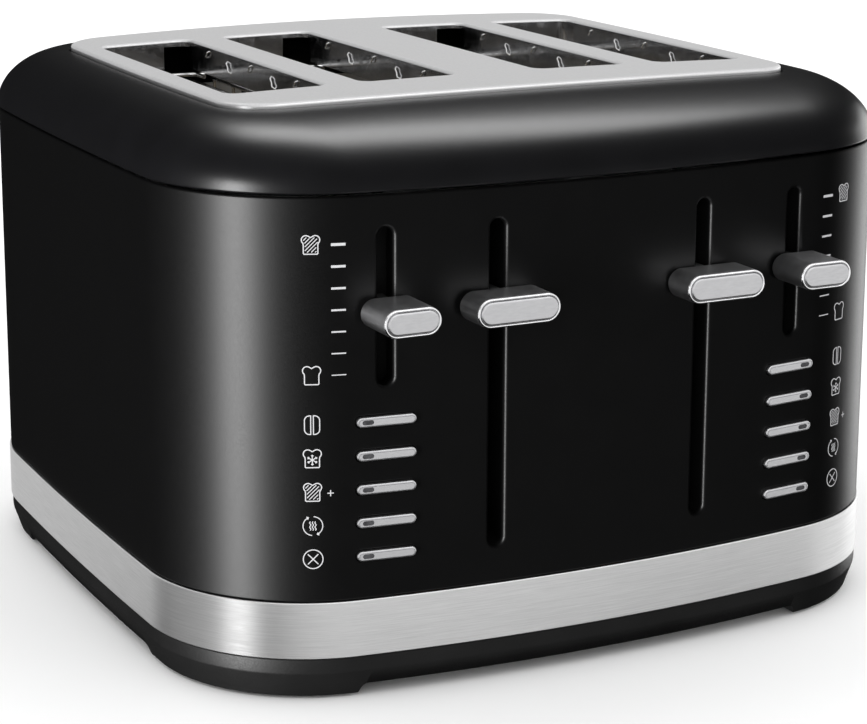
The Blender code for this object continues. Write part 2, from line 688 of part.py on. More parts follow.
def chassis_front_plate():
    """The wall between the toasting space and the lever gear: four slots for the arms, and rod brackets."""
    half_slit = 0.0036
    centres = sorted(x for _, x in slot_centres())
    across = [-CHASSIS_HALF_X + SHEET]
    for x in centres:
        across += [x - half_slit, x + half_slit]
    across.append(CHASSIS_HALF_X - SHEET)
    low = BASE_FLOOR + GAP
    heights = [low, CARRIAGE_Z[0] - 0.0840, RACK_TOP + 0.0240, CHASSIS_HIGH]

    def is_open(i, j):
        return i % 2 == 1 and j == 1

    def place(u, v, w):
        return (u, CHASSIS_FRONT_Y + w, v)

    plate = lattice("chassis_front_plate", across, heights, SHEET, is_open, place, ZINC_SHEET)
    for side, sign in SIDES:
        for level, z in (("low", BRACKET_LOW), ("high", BRACKET_HIGH)):
            xs = sorted((sign * (ROD_X - 0.008), sign * (SPRING_X + 0.006)))
            bracket = box(
                f"bracket_{side}_{level}", (xs[0], ROD_Y - 0.007, z), (xs[1], CHASSIS_FRONT_Y, z + 0.0012)
            )
            join(plate, bracket)


def chassis_shell():
    """A folded sheet: rear wall and both side walls of the toasting space."""
    x, front, rear = CHASSIS_HALF_X, CHASSIS_FRONT_Y + SHEET, CHASSIS_REAR_Y
    outline = [(-x, front), (-x + SHEET, front), (-x + SHEET, rear - SHEET), (x - SHEET, rear - SHEET)]
    outline += [(x - SHEET, front), (x, front), (x, rear), (-x, rear)]
    rings = [[(px, py, z) for px, py in outline] for z in (CHASSIS_LOW, CHASSIS_HIGH)]
    loft("chassis_shell", rings, ZINC_SHEET)


def latch_magnets():
    """An electromagnet under each carriage, which holds it down while the heaters are on."""
    top = CARRIAGE_Z[0] - 0.0805
    low = BASE_FLOOR + GAP
    for side, sign in SIDES:
        place = (sign * 0.0415, CARRIAGE_Y, 0.0)
        ends = ((-0.011, -0.006, low), (0.011, 0.006, top - 0.008))
        magnet = box(f"latch_magnet_{side}", *ends, COIL_COPPER, place)
        ends = ((-0.004, -0.004, low + 0.01), (0.004, 0.004, top))
        join(magnet, box(f"magnet_pole_{side}", *ends, at=place))


def crumb_trays():
    """Shallow pans that slide out of the back; the rear end of each is a piece of the band."""
    for side, sign in SIDES:
        xs = sorted((sign * TRAY_SPAN[0], sign * TRAY_SPAN[1]))
        front = CHASSIS_FRONT_Y + 0.003
        origin = (sum(xs) / 2, BODY_Y, TRAY_Z[0])
        outline = [moved(body_ring(z, PAN_INSET), origin) for z in TRAY_Z]
        pan = loft(f"crumb_tray_{side}", outline, ZINC_SHEET, origin)
        edge = 2 * GAP
        keep_inside(pan, box(f"tray_span_{side}", (xs[0] + edge, front, 0.0), (xs[1] - edge, 0.2, 0.05)))
        inner = [body_ring(z, PAN_INSET + SHEET) for z in (TRAY_Z[0] + SHEET, BAND_HIGH)]
        pocket = loft(f"cut_tray_{side}", inner)
        wall = edge + SHEET
        low, high = (xs[0] + wall, front + SHEET, 0.0), (xs[1] - wall, 0.2, 0.05)
        keep_inside(pocket, box(f"tray_pocket_{side}", low, high))
        cut(pan, pocket)
        face = band_ring(f"tray_face_{side}")
        keep_inside(face, window_box(f"tray_face_span_{side}", sign, GAP))
        join(pan, face)


def moved(ring, origin):
    return [(x - origin[0], y - origin[1], z - origin[2]) for x, y, z in ring]


clear_scene()
for build in (
    main_housing,
    upper_housing,
    top_plate,
    base_band,
    base_tray,
    foot_pads,
    cord_gland,
    levers,
    browning_sliders,
    buttons,
    control_boards,
    carriages,
    guide_rods_and_springs,
    bread_racks,
    bread_guards,
    heater_boards,
    chassis_front_plate,
    chassis_shell,
    latch_magnets,
    crumb_trays,
):
    build()
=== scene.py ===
from math import acos, asin, atan2, ceil, cos, hypot, pi, radians, sin, sqrt

import bmesh
import bpy
import numpy as np
from mathutils import Matrix, Vector
from mathutils.geometry import delaunay_2d_cdt


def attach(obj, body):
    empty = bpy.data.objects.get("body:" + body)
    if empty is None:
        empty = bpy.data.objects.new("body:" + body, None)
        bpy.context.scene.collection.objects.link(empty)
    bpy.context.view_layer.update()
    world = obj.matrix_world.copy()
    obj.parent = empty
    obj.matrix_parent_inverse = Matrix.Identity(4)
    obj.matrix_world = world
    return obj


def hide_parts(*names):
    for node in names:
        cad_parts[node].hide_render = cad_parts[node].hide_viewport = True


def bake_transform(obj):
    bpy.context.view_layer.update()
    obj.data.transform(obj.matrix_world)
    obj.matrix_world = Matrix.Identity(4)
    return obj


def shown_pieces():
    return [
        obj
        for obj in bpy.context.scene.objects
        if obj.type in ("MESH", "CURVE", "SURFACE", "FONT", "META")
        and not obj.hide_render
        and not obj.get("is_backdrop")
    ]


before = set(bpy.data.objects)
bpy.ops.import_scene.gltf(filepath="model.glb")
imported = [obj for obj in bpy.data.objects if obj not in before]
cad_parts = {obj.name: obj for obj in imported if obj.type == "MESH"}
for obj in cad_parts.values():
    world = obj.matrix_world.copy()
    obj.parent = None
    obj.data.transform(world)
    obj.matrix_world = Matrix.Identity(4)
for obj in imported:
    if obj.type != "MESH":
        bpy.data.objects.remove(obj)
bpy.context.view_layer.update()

# ---------------------------------------------------------------- sizes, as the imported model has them

BODY_Y = 0.0073
HALF_X, HALF_Y, FRONT_BOW, SIDE_BOW, CORNER_RADIUS = 0.1488, 0.1475, 0.0163, 0.0042, 0.063
FRONT_STEPS, CORNER_STEPS, SIDE_STEPS = 34, 26, 22
FOOT_BOTTOM, ARCH_TOP, BASE_FACET = 0.0012, 0.005, 0.0105
BAND_LOW, BAND_HIGH, SEAM, PLATE_TOP, GAP = 0.016, 0.0369, 0.1802, 0.2067, 0.0003
WALL, SHEET, BASE_TAPER, BASE_WALL, BASE_FLOOR = 0.0024, 0.001, 0.003, 0.0045, 0.008
BAND_PROUD, SHOULDER_PROUD, SEAM_GROOVE = 0.0006, 0.0005, 0.0008
PLATE_HALF_X, PLATE_HALF_Y, PLATE_Y = 0.1182, 0.103, BODY_Y + 0.0043
PLATE_BOW, PLATE_SIDE_BOW, PLATE_RADIUS, PLATE_CROWN = 0.007, 0.002, 0.02, 0.13
PLATE_PROUD, PLATE_SKIRT, PLATE_GAP = 0.002, 0.006, 0.001
SLOT_SPANS = ((0.0169, 0.0554), (0.0698, 0.1083))
SLOT_HALF_WIDTH = (SLOT_SPANS[0][1] - SLOT_SPANS[0][0]) / 2
SLOT_Y, SLOT_HALF_LENGTH, SLOT_RADIUS, LINER_DEPTH = BODY_Y + 0.0055, 0.0705, 0.0045, 0.013
LEVER_X, BROWNING_X = 0.0417, 0.0829
LEVER_SLOT, BROWNING_SLOT = (0.0493, 0.1702), (0.112, 0.1702)
SLOT_MOUTH, SLOT_HOLE = 0.0088, 0.0058
LEVER_Z, BROWNING_Z = 0.1397, 0.1402
LEVER_KNOB, LEVER_REACH = (0.032, 0.0104), 0.0148
BROWNING_KNOB, BROWNING_REACH = (0.0213, 0.01), 0.0167
BUTTON_SIZE, BUTTON_PROUD, BUTTON_DEPTH = (0.0216, 0.0037), 0.0012, 0.0085
BUTTON_TOP_Z, BUTTON_PITCH = 0.1011, 0.01205
FUNCTIONS = ("bagel", "defrost", "extra", "reheat", "cancel")
CHASSIS_FRONT_Y, CHASSIS_REAR_Y, CHASSIS_HALF_X = SLOT_Y - 0.081, SLOT_Y + 0.08, 0.127
CHASSIS_LOW, CHASSIS_HIGH = 0.033, 0.186
CARRIAGE_Y = CHASSIS_FRONT_Y - 0.0095
HEATER_X = (0.0085, 0.0626, 0.118)
GUARD_LOW, GUARD_HIGH, GUARD_HALF_LENGTH = 0.047, 0.189, 0.0745
RACK_TOP, RACK_THICK = 0.138, 0.0025
ROD_X, ROD_Y, SPRING_X = 0.0626, CARRIAGE_Y - 0.0065, 0.077
BRACKET_LOW, BRACKET_HIGH = 0.04, 0.1757
SPRING_LOW = 0.128 + 0.003 + GAP
TRAY_Z, TRAY_SPAN, WINDOW_Z = (0.0195, 0.0275), (0.0135, 0.112), (0.0185, 0.0345)
FOOT_X, FOOT_Y, PAD_RADIUS = 0.108, 0.106, 0.007
GLAND_Z, GLAND_BORE, GLAND_NECK, GLAND_FLANGE, GLAND_PROUD = 0.056, 0.0037, 0.0062, 0.01, 0.0026
SIDES = (("left", -1), ("right", 1))
PAIRS = tuple(zip(("inner", "outer"), SLOT_SPANS))
SLOTS = [(f"{side}_{pair}", side, sign * sum(span) / 2) for side, sign in SIDES for pair, span in PAIRS]
KNOB_STEPS = 28
BODY = "toaster_body"

# ---------------------------------------------------------------- materials


EVEN = (1.0, 1.0, 1.0)


def rgb(tone):
    """A colour from one grey level, from a grey level and its blue, or from all three levels."""
    if isinstance(tone, float):
        return (tone,) * 3
    return (tone[0], *tone) if len(tone) == 2 else tone


class Shader:
    """A Principled material under construction; node() adds a node, and link() joins two sockets."""

    def __init__(self, name):
        self.material = bpy.data.materials.new(name)
        self.material.use_nodes = True
        self.tree = self.material.node_tree
        self.out = self.tree.nodes["Principled BSDF"].inputs
        self.noises = {}

    def node(self, kind, **inputs):
        made = self.tree.nodes.new(kind)
        for name, value in inputs.items():
            made.inputs[name.replace("_", " ")].default_value = value
        return made

    def link(self, start, end):
        self.tree.links.new(start, end)

    def noise(self, scale, stretch=EVEN, detail=3.0, rough=0.55):
        """The noise with these settings in object coordinates; the same settings give the same node."""
        key = (scale, stretch, detail, rough)
        if key not in self.noises:
            where = self.node("ShaderNodeTexCoord")
            mapping = self.node("ShaderNodeMapping", Scale=stretch)
            made = self.node("ShaderNodeTexNoise", Scale=scale, Detail=detail, Roughness=rough)
            self.link(where.outputs["Object"], mapping.inputs["Vector"])
            self.link(mapping.outputs["Vector"], made.inputs["Vector"])
            self.noises[key] = made.outputs["Fac"]
        return self.noises[key]

    def ramp(self, source, low, high, ends):
        """source between low and high becomes a value between the two ends."""
        made = self.node("ShaderNodeMapRange", From_Min=low, From_Max=high, To_Min=ends[0], To_Max=ends[1])
        self.link(source, made.inputs["Value"])
        return made.outputs["Result"]

    def tint(self, source, dark, light, low=0.3, high=0.7):
        mix = self.node("ShaderNodeMix")
        mix.data_type = "RGBA"
        self.link(self.ramp(source, low, high, (0.0, 1.0)), mix.inputs["Factor"])
        for name, tone in (("A", dark), ("B", light)):
            socket = [s for s in mix.inputs if s.name == name and s.type == "RGBA"][0]
            socket.default_value = (*rgb(tone), 1.0)
        result = [s for s in mix.outputs if s.type == "RGBA"][0]
        self.link(result, self.out["Base Color"])

    def relief(self, source, distance, strength):
        made = self.node("ShaderNodeBump", Strength=strength, Distance=distance)
        self.link(source, made.inputs["Height"])
        self.link(made.outputs["Normal"], self.out["Normal"])


def material(name, colour, roughness, metallic, tint, vary=None, relief=None, specular=0.5, coat=0.0):
    """tint: noise, dark, light[, low, high]; vary: noise and roughness range; relief: noise, depth, strength."""
    s = Shader(name)
    sockets = ("Base Color", "Roughness", "Metallic", "Specular IOR Level", "Coat Weight")
    for socket, value in zip(sockets, ((*rgb(colour), 1.0), roughness, metallic, specular, coat)):
        s.out[socket].default_value = value
    s.tint(s.noise(*tint[0]), *tint[1:])
    if vary:
        s.link(s.ramp(s.noise(*vary[0]), 0.3, 0.7, vary[1:]), s.out["Roughness"])
    if relief:
        s.relief(s.noise(*relief[0]), *relief[1:])
    return s.material


def paint(name, colour, roughness, tint, grain_scale, spread, strength):
    """Satin paint with a very fine powder grain."""
    grain = (grain_scale, EVEN, 2.0)
    return material(name, colour, roughness, 0.0, tint, (grain, *spread), (grain, 0.00003, strength))


def black_plastic(name, low, high, colour):
    grain = (1500.0, EVEN, 2.0)
    tint = ((45.0,), colour * 0.85, colour * 1.25)
    middle, relief = (low + high) / 2, (grain, 0.00006, 0.5)
    return material(name, (colour, colour * 1.03), middle, 0.0, tint, (grain, low, high), relief)


def metal(name, colour, roughness, tint, vary=None, relief=None):
    return material(name, colour, roughness, 1.0, tint, vary, relief)


def satin_silver(name, grain_scale):
    fine = (grain_scale, (0.25, 1.0, 1.0))
    tint = (fine, (0.5, 0.51), (0.58, 0.59))
    return metal(name, (0.54, 0.55), 0.36, tint, (fine, 0.32, 0.4), (fine, 0.000015, 0.35))


WALL_PAINT = paint(
    "satin black wall", (0.0013, 0.0014), 0.4, ((90.0,), (0.0011, 0.0012), (0.0015, 0.0016)),
    2600.0, (0.36, 0.44), 0.3,
)
SHOULDER_PAINT = paint(
    "smooth black shoulder", (0.0045, 0.0052), 0.32, ((60.0,), (0.0041, 0.0047), (0.005, 0.0058)),
    2200.0, (0.29, 0.35), 0.4,
)
PLASTIC = black_plastic("moulded black plastic", 0.38, 0.5, 0.007)
RUBBER = material("foot rubber", 0.02, 0.85, 0.0, ((120.0,), 0.015, (0.03, 0.029)), relief=((900.0,), 0.0001, 0.5))
# Deep black plastic; on the channels behind the slots it is partly painted shade
SHADE = black_plastic("deep black plastic", 0.6, 0.75, 0.006)

# Light grey steel with a short fine grain, smoother and darker in the liners of the slots
PLATE_GRAIN = (1800.0, (1.0, 0.25, 1.0), 2.0)
PLATE = metal(
    "satin plate steel", 0.62, 0.36, (PLATE_GRAIN, (0.6, 0.605), (0.65, 0.655)),
    ((1400.0, (1.0, 0.12, 1.0)), 0.34, 0.4), (PLATE_GRAIN, 0.00001, 0.25),
)
LINER = metal(
    "polished liner steel", (0.6, 0.61), 0.14, ((70.0,), (0.5, 0.51), (0.68, 0.69)),
    ((300.0,), 0.1, 0.22), ((60.0, EVEN, 1.0), 0.0003, 0.2),
)

# Brushed along the band, so every scratch runs level
BRUSHING = (60.0, (1.0, 1.0, 60.0), 6.0, 0.7)
BAND = metal(
    "brushed band steel", 0.62, 0.3, (BRUSHING, 0.58, 0.7, 0.35, 0.65),
    ((80.0, (1.0, 1.0, 45.0), 4.0), 0.28, 0.38), (BRUSHING, 0.00004, 0.3),
)
DARK = metal("dark knob metal", (0.56, 0.57), 0.37, ((150.0,), (0.52, 0.53), (0.6, 0.61)), ((300.0,), 0.35, 0.4))
RIM = metal("polished knob rim", (0.8, 0.81), 0.12, ((150.0,), (0.74, 0.75), (0.84, 0.85)), ((700.0,), 0.1, 0.18))
SILVER, BUTTON = satin_silver("satin silver", 1200.0), satin_silver("button silver", 1600.0)
LAMP = material("lamp window", (0.035, 0.038), 0.25, 0.0, ((600.0,), (0.028, 0.03), (0.06, 0.064)), coat=0.4)
INK = material("pale print", (0.42, 0.43), 0.5, 0.0, ((1500.0,), (0.38, 0.39), (0.46, 0.47)))
ZINC = metal(
    "zinc-plated sheet", (0.5, 0.51, 0.52), 0.38, ((130.0,), (0.42, 0.43, 0.44), (0.56, 0.57, 0.58)),
    ((55.0,), 0.26, 0.46), ((900.0, (1.0, 1.0, 0.2)), 0.00003, 0.4),
)
WIRE = metal("bright wire", 0.66, 0.18, ((200.0,), (0.55, 0.54), 0.72), ((400.0,), 0.14, 0.28))
SPRING = metal("spring steel", (0.36, 0.38), 0.28, ((500.0,), (0.28, 0.3), (0.42, 0.44)), ((700.0,), 0.22, 0.36))

# Flaky pale mineral sheet with darker specks
MICA = material(
    "mica board", (0.5, 0.42, 0.31), 0.55, 0.0,
    ((160.0, EVEN, 8.0, 0.7), (0.34, 0.27, 0.18), (0.62, 0.54, 0.41), 0.35, 0.65),
    ((90.0,), 0.35, 0.65), ((240.0, EVEN, 4.0), 0.0001, 0.4),
)
ALLOY = metal("heating ribbon alloy", (0.3, 0.27, 0.25), 0.35, ((180.0,), (0.22, 0.18, 0.16), (0.38, 0.36, 0.34)))
BOARD = material(
    "circuit board lacquer", (0.02, 0.13, 0.05), 0.35, 0.0,
    ((380.0, (1.0, 1.0, 0.15), 1.0), (0.015, 0.1, 0.04), (0.03, 0.19, 0.08), 0.45, 0.55),
    relief=((500.0,), 0.00005, 0.3),
)
COPPER = metal(
    "lacquered copper wire", (0.52, 0.2, 0.08), 0.3,
    ((300.0, (1.0, 1.0, 8.0)), (0.42, 0.15, 0.06), (0.62, 0.27, 0.12)),
)

# ---------------------------------------------------------------- mesh tools


def piece(name, points, faces, material, sharp=35.0, even=True):
    """A shaded mesh object in the row frame, its faces turned outwards."""
    mesh = bpy.data.meshes.new(name)
    mesh.from_pydata([tuple(p) for p in points], [], faces)
    mesh.update()
    shape = bmesh.new()
    shape.from_mesh(mesh)
    bmesh.ops.recalc_face_normals(shape, faces=shape.faces)
    shape.to_mesh(mesh)
    shape.free()
    obj = link_in(bpy.data.objects.new(name, mesh))
    if material:
        mesh.materials.append(material)
    dress(obj, sharp, even)
    return obj


def link_in(obj):
    bpy.context.scene.collection.objects.link(obj)
    return obj


def dress(obj, sharp=35.0, even=True):
    obj.data.shade_smooth()
    obj.data.set_sharp_from_angle(angle=radians(sharp))
    if even and not obj.modifiers.get("even shading"):
        made = obj.modifiers.new("even shading", "WEIGHTED_NORMAL")
        made.keep_sharp = True


def place(obj, body, nodes=()):
    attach(obj, body)
    if nodes:
        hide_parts(*nodes)
    return obj


def skin(rings, hollow=False, start=0):
    """Faces that join equal rings in turn; a hollow skin joins the last to the first, another has flat ends."""
    count = len(rings[0])
    faces = []
    spans = len(rings) if hollow else len(rings) - 1
    for k in range(spans):
        low, high = start + k * count, start + (k + 1) % len(rings) * count
        for i in range(count):
            j = (i + 1) % count
            faces.append((low + i, low + j, high + j, high + i))
    if not hollow:
        last = start + (len(rings) - 1) * count
        faces.append(tuple(range(start + count - 1, start - 1, -1)))
        faces.append(tuple(range(last, last + count)))
    return faces


def loft(name, rings, material=None, hollow=False, sharp=35.0):
    points = [p for ring in rings for p in ring]
    return piece(name, points, skin(rings, hollow), material, sharp, bool(material))


def prism(name, outline, ends, axis, material=None):
    """An outline swept along axis 0, 1 or 2 between two ends."""
    return loft(name, [[(*p[:axis], end, *p[axis:]) for p in outline] for end in ends], material)


def block(name, low, high, material=None, bevel=0.0):
    corners = [(low[0], low[1]), (high[0], low[1]), (high[0], high[1]), (low[0], high[1])]
    obj = prism(name, corners, (low[2], high[2]), 2, material)
    if bevel:
        soften(obj, bevel)
    return obj


def soften(obj, width, segments=3):
    bevel = obj.modifiers.new("soft edges", "BEVEL")
    bevel.width = width
    bevel.segments = segments
    bevel.limit_method = "ANGLE"
    bevel.angle_limit = radians(40)
    bevel.harden_normals = True
    return obj


def carve(obj, tools, operation="DIFFERENCE"):
    """Applies a Boolean with each tool in turn, and removes the tools."""
    for tool in tools:
        made = obj.modifiers.new("carve", "BOOLEAN")
        made.operation = operation
        made.solver = "EXACT"
        made.object = tool
    even = obj.modifiers.get("even shading")
    if even:
        obj.modifiers.remove(even)
    bpy.context.view_layer.update()
    done = bpy.data.meshes.new_from_object(obj.evaluated_get(bpy.context.evaluated_depsgraph_get()))
    obj.modifiers.clear()
    obj.data = done
    for tool in tools:
        bpy.data.objects.remove(tool, do_unlink=True)
    dress(obj)
    return obj


def merge(name, objects):
    """One object from several separate ones, each keeping its own material."""
    graph = bpy.context.evaluated_depsgraph_get()
    shape = bmesh.new()
    materials = []
    for obj in objects:
        mesh = bpy.data.meshes.new_from_object(obj.evaluated_get(graph))
        mesh.transform(obj.matrix_world)
        here = obj.data.materials[0]
        if here not in materials:
            materials.append(here)
        for polygon in mesh.polygons:
            polygon.material_index = materials.index(here)
        shape.from_mesh(mesh)
        bpy.data.objects.remove(obj, do_unlink=True)
    made = bpy.data.meshes.new(name)
    shape.to_mesh(made)
    shape.free()
    for here in materials:
        made.materials.append(here)
    whole = link_in(bpy.data.objects.new(name, made))
    dress(whole)
    return whole


def arc(centre, radius, start, end, steps):
    angles = [start + (end - start) * i / steps for i in range(steps + 1)]
    return [(centre[0] + radius * cos(a), centre[1] + radius * sin(a)) for a in angles]


def bow_radius(half_span, bow):
    return (half_span**2 + bow**2) / (2 * bow)


class Outline:
    """A rounded rectangle with arc sides: points anticlockwise from the front's middle, and their normals."""

    def __init__(self, half_x, half_y, bow, side_bow, radius, centre_y):
        front, side = bow_radius(half_x, bow), bow_radius(half_y, side_bow)
        self.front_centre = Vector((0.0, front - half_y))
        side_centre = Vector((half_x - side, 0.0))
        between = side_centre - self.front_centre
        reach, other = front - radius, side - radius
        along = (between.length_squared + reach**2 - other**2) / (2 * between.length)
        across = sqrt(reach**2 - along**2)
        unit = between.normalized()
        corner = self.front_centre + unit * along + Vector((-unit.y, unit.x)) * across
        self.corner, self.radius, self.front_radius, self.centre_y = corner, radius, front, centre_y
        self.front_angle = atan2(corner.y - self.front_centre.y, corner.x - self.front_centre.x)
        side_angle = atan2(corner.y - side_centre.y, corner.x - side_centre.x)
        quarter = []
        for centre, r, a0, a1, steps in (
            (self.front_centre, front, -pi / 2, self.front_angle, FRONT_STEPS),
            (corner, radius, self.front_angle, side_angle, CORNER_STEPS),
            (side_centre, side, side_angle, 0.0, SIDE_STEPS),
        ):
            for i in range(0 if not quarter else 1, steps + 1):
                a = a0 + (a1 - a0) * i / steps
                n = (cos(a), sin(a))
                quarter.append((centre[0] + r * n[0], centre[1] + r * n[1], *n))
        right = quarter + [(x, -y, nx, -ny) for x, y, nx, ny in reversed(quarter[:-1])]
        whole = right + [(-x, y, -nx, ny) for x, y, nx, ny in reversed(right[1:-1])]
        data = np.array(whole)
        self.points = data[:, :2] + (0.0, centre_y)
        self.normals = data[:, 2:]

    def flat(self, inset=0.0):
        return self.points - self.normals * inset

    def ring(self, z, inset=0.0):
        return [(x, y, z) for x, y in self.flat(inset)]


WALLS = Outline(HALF_X, HALF_Y, FRONT_BOW, SIDE_BOW, CORNER_RADIUS, BODY_Y)
TOP = Outline(PLATE_HALF_X, PLATE_HALF_Y, PLATE_BOW, PLATE_SIDE_BOW, PLATE_RADIUS, PLATE_Y)


def crown(x):
    return PLATE_CROWN * x * x


def quarter_round(radius, steps):
    """(inward, drop) pairs round an edge, from the side at full drop to the top at full inward."""
    angles = [pi / 2 * i / steps for i in range(steps + 1)]
    return [(radius * (1 - cos(a)), radius * (1 - sin(a))) for a in angles]


def quarter_sweep(count):
    """(1 - cosine, 1 - sine) at that many even steps of a quarter turn."""
    return [(1 - cos(a), 1 - sin(a)) for a in np.linspace(0.0, pi / 2, count)]


def rounded_box(half_x, half_y, radius, steps=5, at=(0.0, 0.0)):
    outline = []
    for quarter, (sx, sy) in enumerate(((1, -1), (1, 1), (-1, 1), (-1, -1))):
        centre = (at[0] + sx * (half_x - radius), at[1] + sy * (half_y - radius))
        start = (quarter - 1) * pi / 2
        outline += arc(centre, radius, start, start + pi / 2, steps)
    return outline


def stadium(width, height, steps, grow=0.0):
    radius = min(width, height) / 2
    shift = (width / 2 - radius, height / 2 - radius)
    if width >= height:
        ends = (((shift[0], 0.0), -pi / 2), ((-shift[0], 0.0), pi / 2))
    else:
        ends = (((0.0, shift[1]), 0.0), ((0.0, -shift[1]), pi))
    outline = []
    for centre, start in ends:
        outline += arc(centre, radius + grow, start, start + pi, steps)
    return outline


def stadium_loft(name, size, profile, at, turn=0.0, material=None, steps=20, shift=0.0, hollow=False):
    """A slot-shaped block from (depth behind at, growth) pairs, shifted sideways and turned about the vertical."""
    spin = Matrix.Rotation(turn, 3, "Z")
    rings = []
    for depth, grow in profile:
        ring = [Vector((x + shift, depth, z)) for x, z in stadium(*size, steps, grow)]
        rings.append([tuple(spin @ p + Vector(at)) for p in ring])
    return loft(name, rings, material, hollow)


def turned(name, profile, material=None, at=(0.0, 0.0, 0.0), sides=48, along_y=False, hollow=False):
    """A round piece from (radius, position) pairs along Z, or along -Y."""
    rings = []
    for radius, position in profile:
        ring = arc((0.0, 0.0), radius, 0.0, 2 * pi * (1 - 1 / sides), sides - 1)
        local = [(x, -position, y) if along_y else (x, y, position) for x, y in ring]
        rings.append([tuple(a + b for a, b in zip(p, at)) for p in local])
    return loft(name, rings, material, hollow)


def tube_rings(path, radius, sides=10):
    """The rings of points round a wire with flat ends that follows a path."""
    path = [Vector(p) for p in path]
    tangents = [(a - b).normalized() for a, b in zip(path[1:] + path[-1:], path[:1] + path[:-1])]
    angles = [2 * pi * i / sides for i in range(sides)]
    side = tangents[0].orthogonal().normalized()
    rings = []
    for point, tangent in zip(path, tangents):
        side = (side - tangent * side.dot(tangent)).normalized()
        other = tangent.cross(side)
        rings.append([tuple(point + (side * cos(a) + other * sin(a)) * radius) for a in angles])
    return rings


def wires(name, paths, material, sides=10):
    """Several wires as one object; each is (path, radius)."""
    points, faces = [], []
    for path, radius in paths:
        rings = tube_rings(path, radius, sides)
        faces += skin(rings, start=len(points))
        points += [p for ring in rings for p in ring]
    return piece(name, points, faces, material, 50.0)


def fillet_path(points, radius, steps=6):
    """A path whose inner corners are rounded."""
    points = [Vector(p) for p in points]
    made = [points[0]]
    for before, here, after in zip(points, points[1:], points[2:]):
        a, b = (before - here).normalized(), (after - here).normalized()
        cut = min(radius, (before - here).length * 0.49, (after - here).length * 0.49)
        start, end = here + a * cut, here + b * cut
        for i in range(steps + 1):
            t = i / steps
            made.append(start * (1 - t) ** 2 + here * 2 * t * (1 - t) + end * t**2)
    return made + [points[-1]]


def front_place(x):
    """The front wall's point at x, and the turn that faces straight out of it."""
    turn = asin(x / WALLS.front_radius)
    return (x, BODY_Y - HALF_Y + WALLS.front_radius * (1 - cos(turn))), turn


# ---------------------------------------------------------------- casing


def slot_tool(name, x, span):
    """Cuts a long hole whose mouth is rounded over."""
    (px, py), turn = front_place(x)
    flare = (SLOT_MOUTH - SLOT_HOLE) / 2
    size = (SLOT_HOLE, span[1] - span[0] - 2 * flare)
    mouth = [(0.0015 * c, flare * s) for c, s in quarter_sweep(8)]
    profile = [(-WALL, flare)] + mouth + [(5 * WALL, 0.0)]
    return stadium_loft(name, size, profile, (px, py, sum(span) / 2), turn, steps=16)


def button_places():
    for side, sign in SIDES:
        for row, function in enumerate(FUNCTIONS):
            (px, py), turn = front_place(sign * BROWNING_X)
            yield side, sign, function, (px, py, BUTTON_TOP_Z - row * BUTTON_PITCH), turn


def housing_wall():
    low = BAND_HIGH + GAP
    rings = [WALLS.ring(low + drop, inset) for inset, drop in reversed(quarter_round(0.0006, 4))]
    rings += [WALLS.ring(SEAM - drop, inset) for inset, drop in quarter_round(0.0009, 5)]
    rings += [WALLS.ring(SEAM, WALL), WALLS.ring(low, WALL)]
    wall = loft("main_housing_wall", rings, WALL_PAINT, True)
    tools = []
    for side, sign in SIDES:
        tools.append(slot_tool(f"t1{side}", sign * LEVER_X, LEVER_SLOT))
        tools.append(slot_tool(f"t2{side}", sign * BROWNING_X, BROWNING_SLOT))
    roll = 0.0005
    profile = [(-WALL, GAP + roll)] + [(roll * c, GAP + roll * s) for c, s in quarter_sweep(4)] + [(3 * WALL, GAP)]
    for side, _, function, at, turn in button_places():
        tools.append(stadium_loft(f"t3{side}{function}", BUTTON_SIZE, profile, at, turn, steps=10))
    hole = ((GLAND_NECK + GAP, -2 * WALL), (GLAND_NECK + GAP, 2 * WALL))
    tools.append(turned("t4", hole, at=(0.0, BODY_Y + HALF_Y, GLAND_Z), along_y=True, sides=32))
    carve(wall, tools)
    place(wall, BODY, ["main_housing"])


def slot_shades():
    """Black channels behind the slots, partly a real dust shutter and partly painted shade that darkens the slots:
    they keep the works out of sight, and the stems run between their walls.
    """
    slots = (("lever", LEVER_X, LEVER_SLOT, 0.024), ("browning", BROWNING_X, BROWNING_SLOT, 0.0095))
    thick = 0.001
    for side, sign in SIDES:
        for kind, x, span, depth in slots:
            (px, py), turn = front_place(sign * x)
            size = (SLOT_HOLE + thick, span[1] - span[0] - thick)
            profile = [(WALL + GAP, thick), (depth, thick), (depth, 0.0), (WALL + GAP, 0.0)]
            at = (px, py, sum(span) / 2)
            shade = stadium_loft(f"{kind}_slot_shade_{side}", size, profile, at, turn, SHADE, 12, hollow=True)
            place(shade, BODY)


